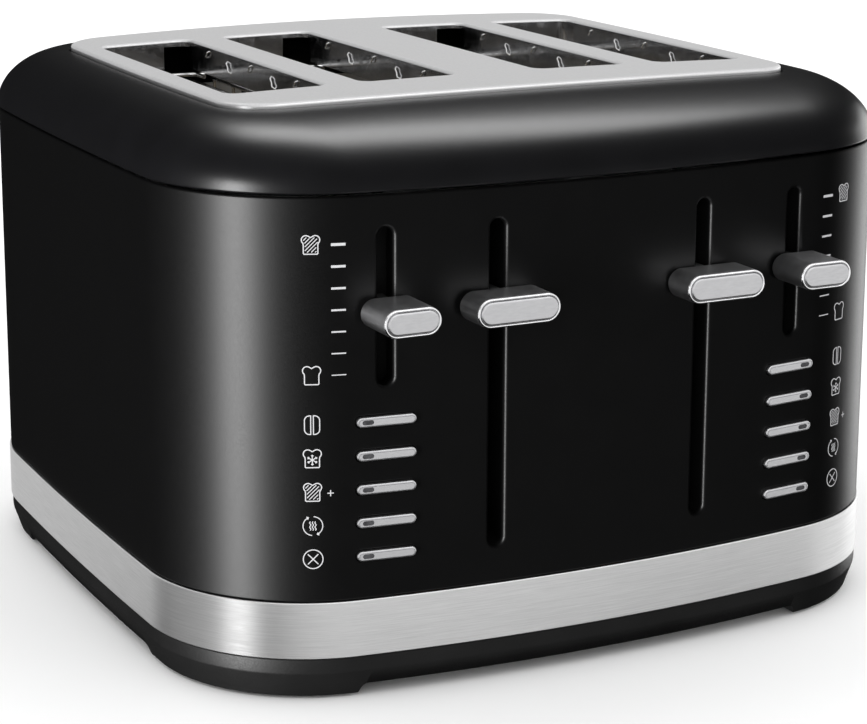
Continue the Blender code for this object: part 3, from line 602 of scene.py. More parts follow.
def shoulder():
    """From the seam the shoulder curves in and up, then rolls down into the gap round the top plate."""
    base = SEAM + SEAM_GROOVE
    body, rim = WALLS.flat(-SHOULDER_PROUD), TOP.flat(-PLATE_GAP)
    inner_body, inner_rim = WALLS.flat(WALL), TOP.flat(-PLATE_GAP - WALL)
    top = PLATE_TOP - PLATE_PROUD - PLATE_CROWN * rim[:, 0] ** 2
    rings = []

    def add(flat, z):
        rings.append([(x, y, h) for (x, y), h in zip(flat, z)])

    low = np.full(len(top), base)
    for inset, drop in reversed(quarter_round(0.001, 5)):
        add(WALLS.flat(-SHOULDER_PROUD + inset), low + drop * 0.9)
    steps = 44
    for k in range(1, steps):
        angle = pi / 2 * k / steps
        inward, upward = 1 - cos(angle), sin(angle)
        z = base + (top - base) * upward
        add(body + (rim - body) * inward, np.maximum(z, low + 0.001))
    for inset, drop in reversed(quarter_round(0.0009, 6)):
        add(TOP.flat(-PLATE_GAP - inset), top - drop)
    add(rim, top - 0.0045)
    add(TOP.flat(-PLATE_GAP - SHEET), top - 0.0045)
    for k in range(24, -1, -1):
        angle = pi / 2 * k / 24
        inward, upward = 1 - cos(angle), sin(angle)
        add(inner_body + (inner_rim - inner_body) * inward, base + (top - WALL - base) * upward)
    obj = loft("upper_housing_shoulder", rings, SHOULDER_PAINT, True, 40.0)
    place(obj, BODY, ["upper_housing"])


def slot_outline(centre_x, grow):
    size = (SLOT_HALF_WIDTH + grow, SLOT_HALF_LENGTH + grow, SLOT_RADIUS + grow)
    return rounded_box(*size, 10, (centre_x, SLOT_Y))


def densify(outline, most):
    made = []
    for (ax, ay), (bx, by) in zip(outline, outline[1:] + outline[:1]):
        count = max(1, ceil(hypot(bx - ax, by - ay) / most))
        made += [(ax + (bx - ax) * i / count, ay + (by - ay) * i / count) for i in range(count)]
    return made


def inside(px, py, outline):
    hit = False
    for (ax, ay), (bx, by) in zip(outline, outline[1:] + outline[:1]):
        if (ay > py) != (by > py) and px < (bx - ax) * (py - ay) / (by - ay) + ax:
            hit = not hit
    return hit


def slot_test(grow):
    """A test for points inside any of the four slots, grown by that much."""
    outlines = [densify(slot_outline(x, grow), 0.01) for _, _, x in SLOTS]
    return lambda x, y: any(inside(x, y, outline) for outline in outlines)


def steel_top():
    """The crowned plate: rolled edges, rounded slot rims and a liner down each slot, all one sheet."""
    roll, rim = 0.0013, 0.0012
    border = [tuple(p) for p in TOP.flat(roll)]
    rims = [densify(slot_outline(x, rim), 0.004) for _, _, x in SLOTS]

    def spread(cx, grow, like):
        """The slot's outline at another growth, point for point with its rim."""
        wide, far = SLOT_HALF_WIDTH - SLOT_RADIUS, SLOT_HALF_LENGTH - SLOT_RADIUS
        made = []
        for px, py in like:
            kx = min(max(px - cx, -wide), wide)
            ky = min(max(py - SLOT_Y, -far), far)
            dx, dy = px - cx - kx, py - SLOT_Y - ky
            scale = (SLOT_RADIUS + grow) / (hypot(dx, dy) or 1.0)
            made.append((cx + kx + dx * scale, SLOT_Y + ky + dy * scale))
        return made

    flat = list(border)
    edges = [(i, (i + 1) % len(border)) for i in range(len(border))]
    for ring in rims:
        first = len(flat)
        flat += ring
        edges += [(first + i, first + (i + 1) % len(ring)) for i in range(len(ring))]
    shrunk = [tuple(p) for p in TOP.flat(roll + 0.002)]
    near_slot = slot_test(rim + 0.0015)
    for gx in np.arange(-0.116, 0.1161, 0.004):
        for gy in np.arange(PLATE_Y - 0.108, PLATE_Y + 0.1081, 0.012):
            if inside(gx, gy, shrunk) and not near_slot(gx, gy):
                flat.append((gx, gy))
    found = delaunay_2d_cdt([Vector(p) for p in flat], edges, [], 0, 1e-7)
    flat = [flat[sources[0]] for sources in found[3]]
    where = {source: i for i, sources in enumerate(found[3]) for source in sources}
    triangles = []
    for face in found[2]:
        cx, cy = (sum(flat[i][k] for i in face) / len(face) for k in (0, 1))
        if inside(cx, cy, border) and not any(inside(cx, cy, ring) for ring in rims):
            triangles.append(tuple(face))
    count = len(flat)
    points = [(x, y, PLATE_TOP - crown(x)) for x, y in flat]
    points += [(x, y, PLATE_TOP - crown(x) - SHEET) for x, y in flat]
    faces = triangles + [tuple(count + i for i in reversed(face)) for face in triangles]

    def stitch(rows, first, size):
        """Joins rings that start on the plate's own upper edge and end on its under edge."""
        upper = [where[first + i] for i in range(size)]
        loops = [upper]
        for ring in rows:
            loops.append(list(range(len(points), len(points) + len(ring))))
            points.extend(ring)
        loops.append([count + i for i in upper])
        for a, b in zip(loops, loops[1:]):
            faces.extend((a[i - 1], a[i], b[i], b[i - 1]) for i in range(len(b)))

    def level(ring, drop):
        return [(x, y, PLATE_TOP - crown(x) - drop) for x, y in ring]

    rows = [level(TOP.flat(i), d) for i, d in list(reversed(quarter_round(roll, 8)))[1:]]
    rows.append(level(TOP.flat(0.0), PLATE_SKIRT - 0.0005))
    rows.append(level(TOP.flat(SHEET / 2), PLATE_SKIRT))
    rows.append(level(TOP.flat(SHEET), PLATE_SKIRT - 0.0005))
    rows += [level(TOP.flat(SHEET + i), SHEET + d) for i, d in quarter_round(roll - SHEET, 4)[:-1]]
    stitch(rows, 0, len(border))
    first = len(border)
    deep = PLATE_TOP - LINER_DEPTH
    for (_, _, x), like in zip(SLOTS, rims):
        over = [(rim - inset, drop) for inset, drop in reversed(quarter_round(rim, 6))][1:]
        rows = [level(spread(x, rim - grow, like), drop) for grow, drop in over]
        rows.append([(px, py, PLATE_TOP - crown(px) - 0.003) for px, py in spread(x, 0.0, like)])
        for grow, dz in ((0.0, 0.0004), (SHEET / 2, 0.0), (SHEET, 0.0004)):
            rows.append([(px, py, deep + dz) for px, py in spread(x, grow, like)])
        rows.append(level(spread(x, SHEET, like), SHEET + 0.0008))
        stitch(rows, first, len(like))
        first += len(like)
    obj = piece("top_plate_steel", points, faces, PLATE, 50.0)
    obj.data.materials.append(LINER)
    in_slot = slot_test(0.0011)
    for polygon in obj.data.polygons:
        centre = polygon.center
        drop = PLATE_TOP - crown(centre.x) - centre.z
        if drop > 0.0013 and in_slot(centre.x, centre.y):
            polygon.material_index = 1
    rear = SLOT_Y + SLOT_HALF_LENGTH
    tools = []
    for name, _, x in SLOTS[:3]:
        low = (x + 0.0085, rear - 0.0045, deep - 0.001)
        tools.append(block(f"t18{name}", low, (x + 0.0206, rear + 0.003, PLATE_TOP - crown(x) - 0.0026)))
    carve(obj, tools)
    place(obj, BODY, ["top_plate"])


def slot_wires():
    """Each slot's bright wires: a level one across its rear, and small hooks down both of its long walls."""
    bend = ((0.0003, 0.0017, 0.0), (-0.0009, 0.0009, -0.0008), (-0.0006, -0.0001, -0.0024))
    bend += ((-0.001, -0.001, -0.0037), (0.0003, -0.0021, -0.0046))
    for name, _, x in SLOTS:
        half = SLOT_HALF_WIDTH + SHEET
        y, z, r = SLOT_Y + SLOT_HALF_LENGTH - 0.006, PLATE_TOP - LINER_DEPTH - 0.0016, 0.0009
        ends = [(x - half, y - 0.009, z), (x - half, y, z), (x + half, y, z), (x + half, y - 0.009, z)]
        place(wires(f"slot_wire_{name}_bar", [(fillet_path(ends, 0.004), r)], WIRE), BODY)
        hooks = []
        for sign in (-1, 1):
            wall = x + sign * SLOT_HALF_WIDTH
            for k in range(5):
                at, top = SLOT_Y + 0.048 - 0.0225 * k, PLATE_TOP - crown(wall) - 0.0024 - 0.0016 * (k % 2)
                lean, length = (1.0, 1.0) if k % 2 else (-0.7, 0.65)
                hook = [(wall + sign * a, at + lean * b, top + length * c) for a, b, c in bend]
                hooks.append((fillet_path(hook, 0.0006, 4), 0.00036))
        place(wires(f"slot_wire_{name}_hooks", hooks, WIRE, 8), BODY)


def band_rings(edge=0.0005):
    outer, inner = -BAND_PROUD, SHEET - BAND_PROUD
    rings = [WALLS.ring(BAND_LOW + d, outer + i) for i, d in reversed(quarter_round(edge, 4))]
    rings += [WALLS.ring(BAND_HIGH - d, outer + i) for i, d in quarter_round(edge, 4)]
    return rings + [WALLS.ring(BAND_HIGH, inner), WALLS.ring(BAND_LOW, inner)]


def window_tool(name, sign, clearance):
    xs = sorted((sign * TRAY_SPAN[0], sign * TRAY_SPAN[1]))
    low = (xs[0] + clearance, BODY_Y + 0.07, WINDOW_Z[0] + clearance)
    high = (xs[1] - clearance, BODY_Y + HALF_Y + 0.01, WINDOW_Z[1] - clearance)
    return block(name, low, high)


def steel_band():
    band = loft("base_band_steel", band_rings(), BAND, True)
    carve(band, [window_tool(f"t5{side}", sign, -GAP) for side, sign in SIDES])
    place(band, BODY, ["base_band"])


def arch_tool(name, half_length, along_x, reach):
    """A trapezoid with rounded upper corners, which cuts the arches between the feet."""
    slope, radius, middle = 0.0016, 0.0025, (0.0, ARCH_TOP)
    left, right = (-half_length, FOOT_BOTTOM), (half_length, FOOT_BOTTOM)
    profile = [(-half_length - slope, -0.01), left]
    profile += fillet_corner(left, (-half_length + slope, ARCH_TOP), middle, radius)
    profile += fillet_corner(middle, (half_length - slope, ARCH_TOP), right, radius)
    profile += [right, (half_length + slope, -0.01)]
    if along_x:
        return prism(name, profile, (-reach, reach), 1)
    return prism(name, [(BODY_Y + u, z) for u, z in profile], (-reach, reach), 0)


def fillet_corner(a, b, c, radius):
    return [(p.x, p.y) for p in fillet_path([(*a, 0.0), (*b, 0.0), (*c, 0.0)], radius)[1:-1]]


def base():
    """The black base: an upright facet, one that tapers in, arches, and a floor with rails, bosses and vents."""
    edge = 0.0004
    rings = [WALLS.ring(FOOT_BOTTOM, BASE_TAPER + edge), WALLS.ring(FOOT_BOTTOM + edge, BASE_TAPER)]
    rings += [WALLS.ring(BASE_FACET - edge, edge * 0.35), WALLS.ring(BASE_FACET + edge, 0.0)]
    rings += [WALLS.ring(BAND_LOW - GAP - edge, 0.0), WALLS.ring(BAND_LOW - GAP, edge)]
    obj = loft("base_tray_moulding", rings, PLASTIC)
    far = HALF_X + HALF_Y
    tools = [arch_tool("t6", 0.092, True, far), arch_tool("t7", 0.072, False, far)]
    tools.append(loft("t8", [WALLS.ring(BASE_FLOOR, BASE_WALL), WALLS.ring(0.05, BASE_WALL)]))
    for name, x, y in foot_places():
        hole = ((PAD_RADIUS + GAP, -0.01), (PAD_RADIUS + GAP, FOOT_BOTTOM + 0.003))
        tools.append(turned(f"t9{name}", hole, at=(x, y, 0.0), sides=40))
    for k in range(-4, 5):
        for row in (-1, 1):
            vent = [(x + k * 0.018, y + (BODY_Y + row * 0.03)) for x, y in stadium(0.0035, 0.036, 8)]
            tools.append(prism(f"t10{k}{row}", vent, (0.0, BASE_FLOOR + 0.002), 2))
    carve(obj, tools)
    low, high, near, far = BAND_LOW - 0.002, BAND_LOW + 0.002, 0.0017, 0.0045
    lip = [WALLS.ring(z, inset) for z, inset in ((low, near), (high, near), (high, far), (low, far))]
    parts = [obj, loft("lip", lip, PLASTIC, True)]
    for _, sign in SIDES:
        for x in (TRAY_SPAN[0] + 0.012, TRAY_SPAN[1] - 0.022):
            low = (sign * x - 0.0015, CHASSIS_FRONT_Y + 0.008, BASE_FLOOR - 0.001)
            parts.append(block("rail", low, (sign * x + 0.0015, BODY_Y + 0.125, TRAY_Z[0] - GAP), PLASTIC))
    parts += screw_bosses()
    place(merge("base_tray_moulding", parts), BODY, ["base_tray"])


def screw_bosses():
    low, top = ARCH_TOP - 0.0012, ARCH_TOP + 0.0008
    profile = ((0.003, low + 0.0006), (0.0052, low), (0.006, low + 0.0006), (0.006, top), (0.003, top))
    places = [(sx * 0.072, BODY_Y + sy * 0.088, 0.0) for sx in (-1, 1) for sy in (-1, 1)]
    return [turned("boss", profile, PLASTIC, at, 32, hollow=True) for at in places]


def foot_places():
    for side, sign in SIDES:
        for end, direction in (("front", -1), ("rear", 1)):
            yield f"{end}_{side}", sign * FOOT_X, BODY_Y + direction * FOOT_Y


def feet():
    height = FOOT_BOTTOM + 0.003 - GAP
    for name, x, y in foot_places():
        profile = [(0.0001, 0.0006), (0.0018, 0.0005), (0.0024, 0.0), (PAD_RADIUS - 0.001, 0.0)]
        profile += [(PAD_RADIUS - 0.0003, 0.0003), (PAD_RADIUS, 0.001), (PAD_RADIUS, height)]
        pad = turned(f"foot_pad_{name}_rubber", profile, RUBBER, (x, y, 0.0))
        place(pad, BODY, [f"foot_pad_{name}"])


def gland():
    """A bush with a rolled collar outside the wall and a neck through it."""
    inner = 2.5 * WALL
    profile = [(GLAND_BORE + 0.0007, -GLAND_PROUD), (GLAND_FLANGE - 0.0009, -GLAND_PROUD)]
    profile += [(GLAND_FLANGE - 0.0003, -GLAND_PROUD + 0.0003), (GLAND_FLANGE, -GLAND_PROUD + 0.001)]
    profile += [(GLAND_FLANGE, -GAP), (GLAND_NECK, -GAP), (GLAND_NECK, inner)]
    profile += [(GLAND_BORE, inner), (GLAND_BORE, -GLAND_PROUD + 0.0007)]
    bush = turned("cord_gland_bush", profile, PLASTIC, (0.0, BODY_Y + HALF_Y, GLAND_Z), 64, True, True)
    place(bush, BODY, ["cord_gland"])


housing_wall()
slot_shades()
shoulder()
steel_top()
slot_wires()
steel_band()
base()
feet()
gland()

# ---------------------------------------------------------------- controls


def knob_set(kind, side, sign, size, x, z, reach):
    """A knob: a dark body with a polished rolled rim round a groove, and a satin face that stands in it."""
    back = front_place(x - size[0] / 2)[0][1] - 0.0005
    face_y = BODY_Y - HALF_Y - reach
    front = face_y - back
    at = (sign * x, back, z)
    rim = 0.0007
    join = front + rim + 0.0002
    profile = [(0.0, -0.001), (-0.0003, -0.0004), (-0.001, 0.0), (join, 0.0), (join, -0.002)]
    body = stadium_loft("a", size, profile, at, material=DARK, steps=KNOB_STEPS)
    roll = [(join, -0.0022), (join, -0.00002), (front + rim, 0.0)]
    roll += [(front + rim * s, -rim * 0.85 * c) for c, s in quarter_sweep(8)[1:]]
    roll += [(front + 0.0001, -0.001), (front + 0.001, -0.00105), (front + 0.001, -0.0022)]
    parts = [body, stadium_loft("b", size, roll, at, material=RIM, steps=KNOB_STEPS)]
    if kind == "browning":
        (px, py), turn = front_place(sign * x)
        stem = block("stem", (-0.0018, -2 * WALL, -0.0035), (0.0018, 0.0095, 0.0035), SHADE)
        stem.matrix_world = Matrix.Translation((px, py, z)) @ Matrix.Rotation(turn, 4, "Z")
        bpy.context.view_layer.update()
        parts.append(stem)
    place(merge(f"{kind}_knob_{side}_metal", parts), f"{kind}_{side}", [f"{kind}_knob_{side}"])
    edge = -0.00118
    profile = [(0.0007, edge), (0.0, edge), (-0.0002, edge - 0.00008)]
    profile += [(-0.0004, edge - 0.0003), (-0.0005, edge - 0.0007)]
    at = (sign * x, face_y, z)
    face = stadium_loft(f"{kind}_face_{side}_plate", size, profile, at, material=SILVER, steps=KNOB_STEPS)
    place(face, f"{kind}_{side}", [f"{kind}_face_{side}"])


def levers_and_sliders():
    for side, sign in SIDES:
        knob_set("lever", side, sign, LEVER_KNOB, LEVER_X, LEVER_Z, LEVER_REACH)
        knob_set("browning", side, sign, BROWNING_KNOB, BROWNING_X, BROWNING_Z, BROWNING_REACH)


def push_buttons():
    """Slim silver bars with rolled edges; each has a small dark lamp window at its outer end."""
    front, r, window = -BUTTON_PROUD, 0.00055, (0.0042, 0.0017)
    bar_profile = [(BUTTON_DEPTH, -0.0002), (BUTTON_DEPTH - 0.0003, 0.0)]
    bar_profile += [(front + r * s, -r * c) for c, s in quarter_sweep(7)]
    bar_profile += [(front + 0.0002, -0.00062), (front + 0.0002, -0.00078), (front, -0.00086)]
    lamp_profile = [(front + 0.0005, -0.00004), (front + 0.00015, -0.00004), (front + 0.00008, -0.00018)]
    for side, sign, function, at, turn in button_places():
        name = f"button_{function}_{side}"
        bar = stadium_loft(f"{name}_bar", BUTTON_SIZE, bar_profile, at, turn, BUTTON, 16)
        out = sign * (BUTTON_SIZE[0] / 2 - 0.004)
        hole = [(front - 0.001, 0.0), (front + 0.0005, 0.0)]
        carve(bar, [stadium_loft("t11", window, hole, at, turn, None, 6, out)])
        place(bar, name, [name])
        lamp = stadium_loft(f"{name}_lamp", window, lamp_profile, at, turn, LAMP, 6, out)
        place(lamp, name)


# ---------------------------------------------------------------- print on the front corners

PRINT_LIFT, PRINT_DEPTH = 0.00006, 0.0001


def wall_point(sign, x, u, z, lift):
    """A point of the corner's wall: u metres along the wall from x, this far in front of it."""
    corner = WALLS.corner
    angle = -acos((x - corner.x) / WALLS.radius) + u / WALLS.radius
    r = WALLS.radius + lift
    return (sign * (corner.x + r * cos(angle)), corner.y + BODY_Y + r * sin(angle), z)


def stroke(path, width, closed=False):
    """Left and right edges of a pen stroke in the plane, mitred at its corners."""
    path = [Vector(p) for p in path]
    count = len(path)
    pairs = []
    for i, here in enumerate(path):
        before = path[i - 1] if closed or i else None
        after = path[(i + 1) % count] if closed or i + 1 < count else None
        normals = []
        for a, b in ((before, here), (here, after)):
            if a is not None and b is not None and (b - a).length > 1e-9:
                d = (b - a).normalized()
                normals.append(Vector((-d.y, d.x)))
        n = sum(normals, Vector((0.0, 0.0))).normalized()
        n *= width / 2 / max(0.5, n.dot(normals[0]))
        pairs.append((here + n, here - n))
    return pairs


class Print:
    """Strokes of one printed mark, laid on the corner's wall as thin ink."""

    def __init__(self, name, sign, x, z):
        self.name, self.sign, self.x, self.z = name, sign, x, z
        self.points, self.faces = [], []

    def draw(self, path, width=0.00037, closed=False):
        pairs = stroke(path, width, closed)
        start = len(self.points)
        for pair in pairs:
            for lift in (PRINT_LIFT, -PRINT_DEPTH):
                for p in pair:
                    self.points.append(wall_point(self.sign, self.x, self.sign * p.x, self.z + p.y, lift))
        count = len(pairs)
        for i in range(count if closed else count - 1):
            a, b = start + 4 * i, start + 4 * ((i + 1) % count)
            for p, q in ((0, 1), (1, 3), (3, 2), (2, 0)):
                self.faces.append((a + p, a + q, b + q, b + p))
        if not closed:
            last = start + 4 * (count - 1)
            self.faces += [(start, start + 1, start + 3, start + 2), (last, last + 2, last + 3, last + 1)]

    def finish(self):
        place(piece(self.name, self.points, self.faces, INK, 50.0), BODY)


def bread_outline():
    """A slice of bread about 7 mm tall, as a closed path."""
    half = [(0.0, 0.0026)] + arc((0.0016, 0.0018), 0.0015, radians(120), radians(-50), 9)
    half += [(0.00245, 0.0000), (0.00245, -0.0028), (0.0022, -0.0031)]
    return half + [(-u, v) for u, v in reversed(half[1:])]


def hatch(mark, width=0.0003):
    for k in range(-5, 6):
        line = []
        for t in np.linspace(-0.006, 0.006, 121):
            u, v = t * 0.7071 + k * 0.00095 * 0.7071, t * 0.7071 - k * 0.00095 * 0.7071
            if inside(u, v, [(a * 0.8, b * 0.82) for a, b in bread_outline()]):
                line.append((u, v))
        if len(line) > 3:
            mark.draw([line[0], line[-1]], width)


def draw_bagel(mark):
    for m in (-1, 1):
        half = [(0.00045, 0.0033), (0.00045, -0.0033), (0.0009, -0.0033)]
        half += arc((0.0009, -0.0016), 0.0017, -pi / 2, 0.0, 8)[1:]
        half += arc((0.0009, 0.0016), 0.0017, 0.0, pi / 2, 8)
        mark.draw([(m * u, v) for u, v in half], 0.00035, True)


def draw_bread(mark):
    mark.draw(bread_outline(), closed=True)


def draw_flake(mark):
    for k in range(3):
        a = pi / 2 + k * pi / 3
        tip = (0.0019 * cos(a), 0.0019 * sin(a) - 0.0004)
        mark.draw([tip, (-tip[0], -tip[1] - 0.0008)], 0.00032)
    for k in range(6):
        a = pi / 2 + k * pi / 3
        root = (0.0011 * cos(a), 0.0011 * sin(a) - 0.0004)
        for turn in (-0.6, 0.6):
            mark.draw([root, (root[0] + 0.0007 * cos(a + turn), root[1] + 0.0007 * sin(a + turn))], 0.00026)


def draw_plus(mark):
    middle = 0.0062
    mark.draw([(middle - 0.0011, -0.0004), (middle + 0.0011, -0.0004)], 0.00034)
    mark.draw([(middle, -0.0015), (middle, 0.0007)], 0.00034)


def draw_reheat(mark):
    for start in (-65, 115):
        ring = arc((0.0, 0.0), 0.0034, radians(start), radians(start + 150), 24)
        mark.draw(ring, 0.00033)
        end, tangent = ring[0], radians(start) - pi / 2
        for turn in (2.5, -2.5):
            barb = (end[0] + 0.0008 * cos(tangent + turn), end[1] + 0.0008 * sin(tangent + turn))
            mark.draw([end, barb], 0.00034)
    for shift in (-0.0009, 0.0, 0.0009):
        wave = [(shift + 0.00022 * sin(t * 2.2), 0.0016 * t / 3.0) for t in np.linspace(-3.0, 3.0, 19)]
        mark.draw(wave, 0.0003)


def draw_cancel(mark):
    mark.draw(arc((0.0, 0.0), 0.0034, 0.0, 2 * pi * 47 / 48, 47), 0.00035, True)
    for m in (-1, 1):
        mark.draw([(-0.0018 * m, -0.0018), (0.0018 * m, 0.0018)], 0.00035)


def prints():
    """On each side: seven ticks of the browning scale, its two slices, and a pictogram for each button."""
    icon_x, tick_x, tick_z, tick_pitch, ticks = 0.1083, 0.0994, 0.1639, 0.00757, 7
    drawings = ((draw_bagel,), (draw_bread, draw_flake), (draw_bread, hatch, draw_plus))
    drawings += ((draw_reheat,), (draw_cancel,))
    for side, sign in SIDES:
        for k in range(ticks):
            mark = Print(f"tick_{k + 1}_{side}", sign, tick_x, tick_z - k * tick_pitch)
            mark.draw([(-0.0025, 0.0), (0.0025, 0.0)], 0.00095 - k * 0.0001)
            mark.finish()
        icons = [("dark", tick_z, (draw_bread, hatch))]
        icons.append(("light", tick_z - (ticks - 1) * tick_pitch, (draw_bread,)))
        for row, (function, strokes) in enumerate(zip(FUNCTIONS, drawings)):
            icons.append((function, BUTTON_TOP_Z - row * BUTTON_PITCH, strokes))
        for name, z, strokes in icons:
            mark = Print(f"icon_{name}_{side}", sign, icon_x, z)
            for draw in strokes:
                draw(mark)
            mark.finish()


# ---------------------------------------------------------------- inside


def guards():
    """Each guard: straight upright wires between three level ones."""
    r, middle = 0.0008, 0.118
    low, high = SLOT_Y - GUARD_HALF_LENGTH, SLOT_Y + GUARD_HALF_LENGTH
    heights = (GUARD_LOW + r, middle, GUARD_HIGH - r)
    for name, _, centre_x in SLOTS:
        for hand, direction in SIDES:
            x = centre_x + direction * (SLOT_HALF_WIDTH + 0.0012 + r)
            paths = []
            for k in range(8):
                y = low + 0.0011 + k * (2 * GUARD_HALF_LENGTH - 0.0022) / 7
                paths.append(([(x, y, z) for z in heights], r * 0.85))
            paths += [([(x, low, z), (x, high, z)], r) for z in heights]
            node = f"bread_guard_{name}_{hand}"
            place(wires(f"{node}_wires", paths, WIRE), f"guard_{name}_{hand}", [node])


def racks():
    """The ladder that carries a slice: a flat spine with the arm, two side wires and rungs."""
    low, high, r, half = SLOT_Y - 0.072, SLOT_Y + 0.072, 0.0011, 0.0088
    z = RACK_TOP - RACK_THICK / 2
    for name, side, x in SLOTS:
        spine_low = (x - 0.0024, CARRIAGE_Y + SHEET + GAP, z - RACK_THICK / 2 + 0.0002)
        spine = block("spine", spine_low, (x + 0.0024, high, z + RACK_THICK / 2 - 0.0008), WIRE, 0.0004)
        loop = [(x, low + r), (x - half, low + r), (x - half, high - r)]
        loop += [(x + half, high - r), (x + half, low + r), (x, low + r)]
        paths = [(fillet_path([(*p, z) for p in loop], 0.005), r)]
        for k in range(1, 5):
            y = low + k * (high - low) / 5
            paths.append(([(x - half, y, z), (x + half, y, z)], r))
        rack = merge(f"bread_rack_{name}_wires", [spine, wires("ladder", paths, WIRE)])
        place(rack, f"lever_{side}", [f"bread_rack_{name}"])


def heaters():
    """A mica board with notched ends and a ribbon wound round it."""
    rows, length, low, high, gap = 14, 0.07, 0.048, 0.178, 0.00075
    pitch, reach = (high - low - 0.012) / rows, length - 0.001
    heights = [low + 0.006 + pitch * (k + 0.5) for k in range(rows)]
    outline = [(SLOT_Y - length, low), (SLOT_Y + length, low)]
    for end in (1, -1):
        y = SLOT_Y + end * length
        for z in heights[::end]:
            a, b = z - end * 0.0008, z + end * 0.0008
            outline += [(y, a), (y - end * 0.0012, a), (y - end * 0.0012, b), (y, b)]
        if end > 0:
            outline += [(y, high), (SLOT_Y - length, high)]
    for side, sign in SIDES:
        for where, x in zip(("inner", "middle", "outer"), HEATER_X):
            node = f"heater_board_{side}_{where}"
            faces = (sign * x - 0.0005, sign * x + 0.0005)
            place(prism(f"{node}_mica", outline, faces, 0, MICA), BODY, [node])
            near, far, path = SLOT_Y - reach, SLOT_Y + reach, []
            for k, z in enumerate(heights):
                step = pitch if k + 1 < rows else 0.0
                path += [(sign * x + gap, near, z), (sign * x + gap, far, z)]
                path += [(sign * x - gap, far, z), (sign * x - gap, near, z + step)]
            place(wires(f"{node}_ribbon", [(path, 0.00028)], ALLOY, 6), BODY)


def lever_works():
    """Guide rods, coil springs, carriages and magnets."""
    rod_low, rod_high, r = BRACKET_LOW + 0.0012 + GAP, BRACKET_HIGH - GAP, 0.003
    profile = [(0.0024, rod_low), (0.003, rod_low + 0.0006), (0.003, rod_high - 0.0006), (0.0024, rod_high)]
    low, high, turns = SPRING_LOW + 0.0005, BRACKET_HIGH - GAP - 0.0005, 22
    for side, sign in SIDES:
        rod = turned(f"guide_rod_{side}_bar", profile, WIRE, (sign * ROD_X, ROD_Y, 0.0), 40)
        place(rod, BODY, [f"guide_rod_{side}"])
        path = []
        for i in range(turns * 20 + 1):
            t = i / (turns * 20)
            a = 2 * pi * turns * t
            path.append((sign * SPRING_X + r * cos(a), ROD_Y + r * sin(a), low + (high - low) * t))
        coil = wires(f"lift_spring_{side}_coil", [(path, 0.0005)], SPRING, 8)
        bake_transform(coil)
        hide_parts(f"lift_spring_{side}")
        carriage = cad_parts[f"carriage_{side}"]
        repaint(carriage, ZINC)
        soften(carriage, 0.0003)
        magnet(side, sign)


def magnet(side, sign):
    """An iron yoke and pole with a winding of copper wire between two cheeks."""
    low, top = BASE_FLOOR + GAP, 0.128 - 0.0805
    x, y, bevel, steps = sign * 0.0415, CARRIAGE_Y, 0.0003, 104
    parts = [block("foot", (x - 0.011, y - 0.006, low), (x + 0.011, y + 0.006, low + 0.0025), ZINC, bevel)]
    parts.append(block("pole", (x - 0.004, y - 0.004, low + 0.001), (x + 0.004, y + 0.004, top), ZINC, bevel))
    for z in (low + 0.0025, top - 0.0095):
        parts.append(block("cheek", (x - 0.01, y - 0.0058, z), (x + 0.01, y + 0.0058, z + 0.0012), SHADE, bevel))
    bottom, height = low + 0.004, top - 0.0098 - low - 0.0045
    rings = []
    for k in range(steps + 1):
        bulge = 0.00025 * (1 - cos(2 * pi * k / 4))
        outline = rounded_box(0.0088 + bulge, 0.005 + bulge, 0.003)
        rings.append([(x + u, y + v, bottom + height * (k / steps)) for u, v in outline])
    parts.append(loft("winding", rings, COPPER, sharp=80.0))
    place(merge(f"latch_magnet_{side}_coil", parts), BODY, [f"latch_magnet_{side}"])


def repaint(node, material):
    node.data.materials.clear()
    node.data.materials.append(material)


def boards():
    """Circuit boards with a slide control, switches and a few small parts on their rear."""
    front, rear, foremost = 0.019, 0.019 + 0.0016, 0.0125
    cap = ((0.0016, 0.0), (0.0016, 0.0018), (0.0012, 0.002))
    can = ((0.0018, -front - 0.0074), (0.0022, -front - 0.007), (0.0022, -front - 0.0016))
    for side, sign in SIDES:
        (px, py), turn = front_place(sign * BROWNING_X)
        spin = Matrix.Translation((px, py, 0.0)) @ Matrix.Rotation(turn, 4, "Z")
        parts = [block("board", (-0.0165, front, 0.044), (0.0165, rear, 0.172), BOARD, 0.0002)]
        parts.append(block("slide", (-0.0045, 0.0104, 0.1085), (0.0045, front, 0.1705), SHADE, 0.0005))
        for row in range(5):
            z = BUTTON_TOP_Z - row * BUTTON_PITCH
            parts.append(block("switch", (-0.003, foremost, z - 0.003), (0.003, front, z + 0.003), SHADE, 0.0003))
            parts.append(turned("cap", cap, SILVER, (0.0, foremost, z), 20, True))
        for k in range(6):
            z = 0.052 + 0.019 * k
            parts.append(block("chip", (-0.011, rear, z), (-0.003, front + 0.003, z + 0.006), SHADE, 0.0002))
            parts.append(turned("can", can, SILVER, (0.007, 0.0, z + 0.003), 20, True))
        for obj in parts:
            obj.matrix_world = spin @ obj.matrix_world
        bpy.context.view_layer.update()
        place(merge(f"control_board_{side}_assembly", parts), BODY, [f"control_board_{side}"])


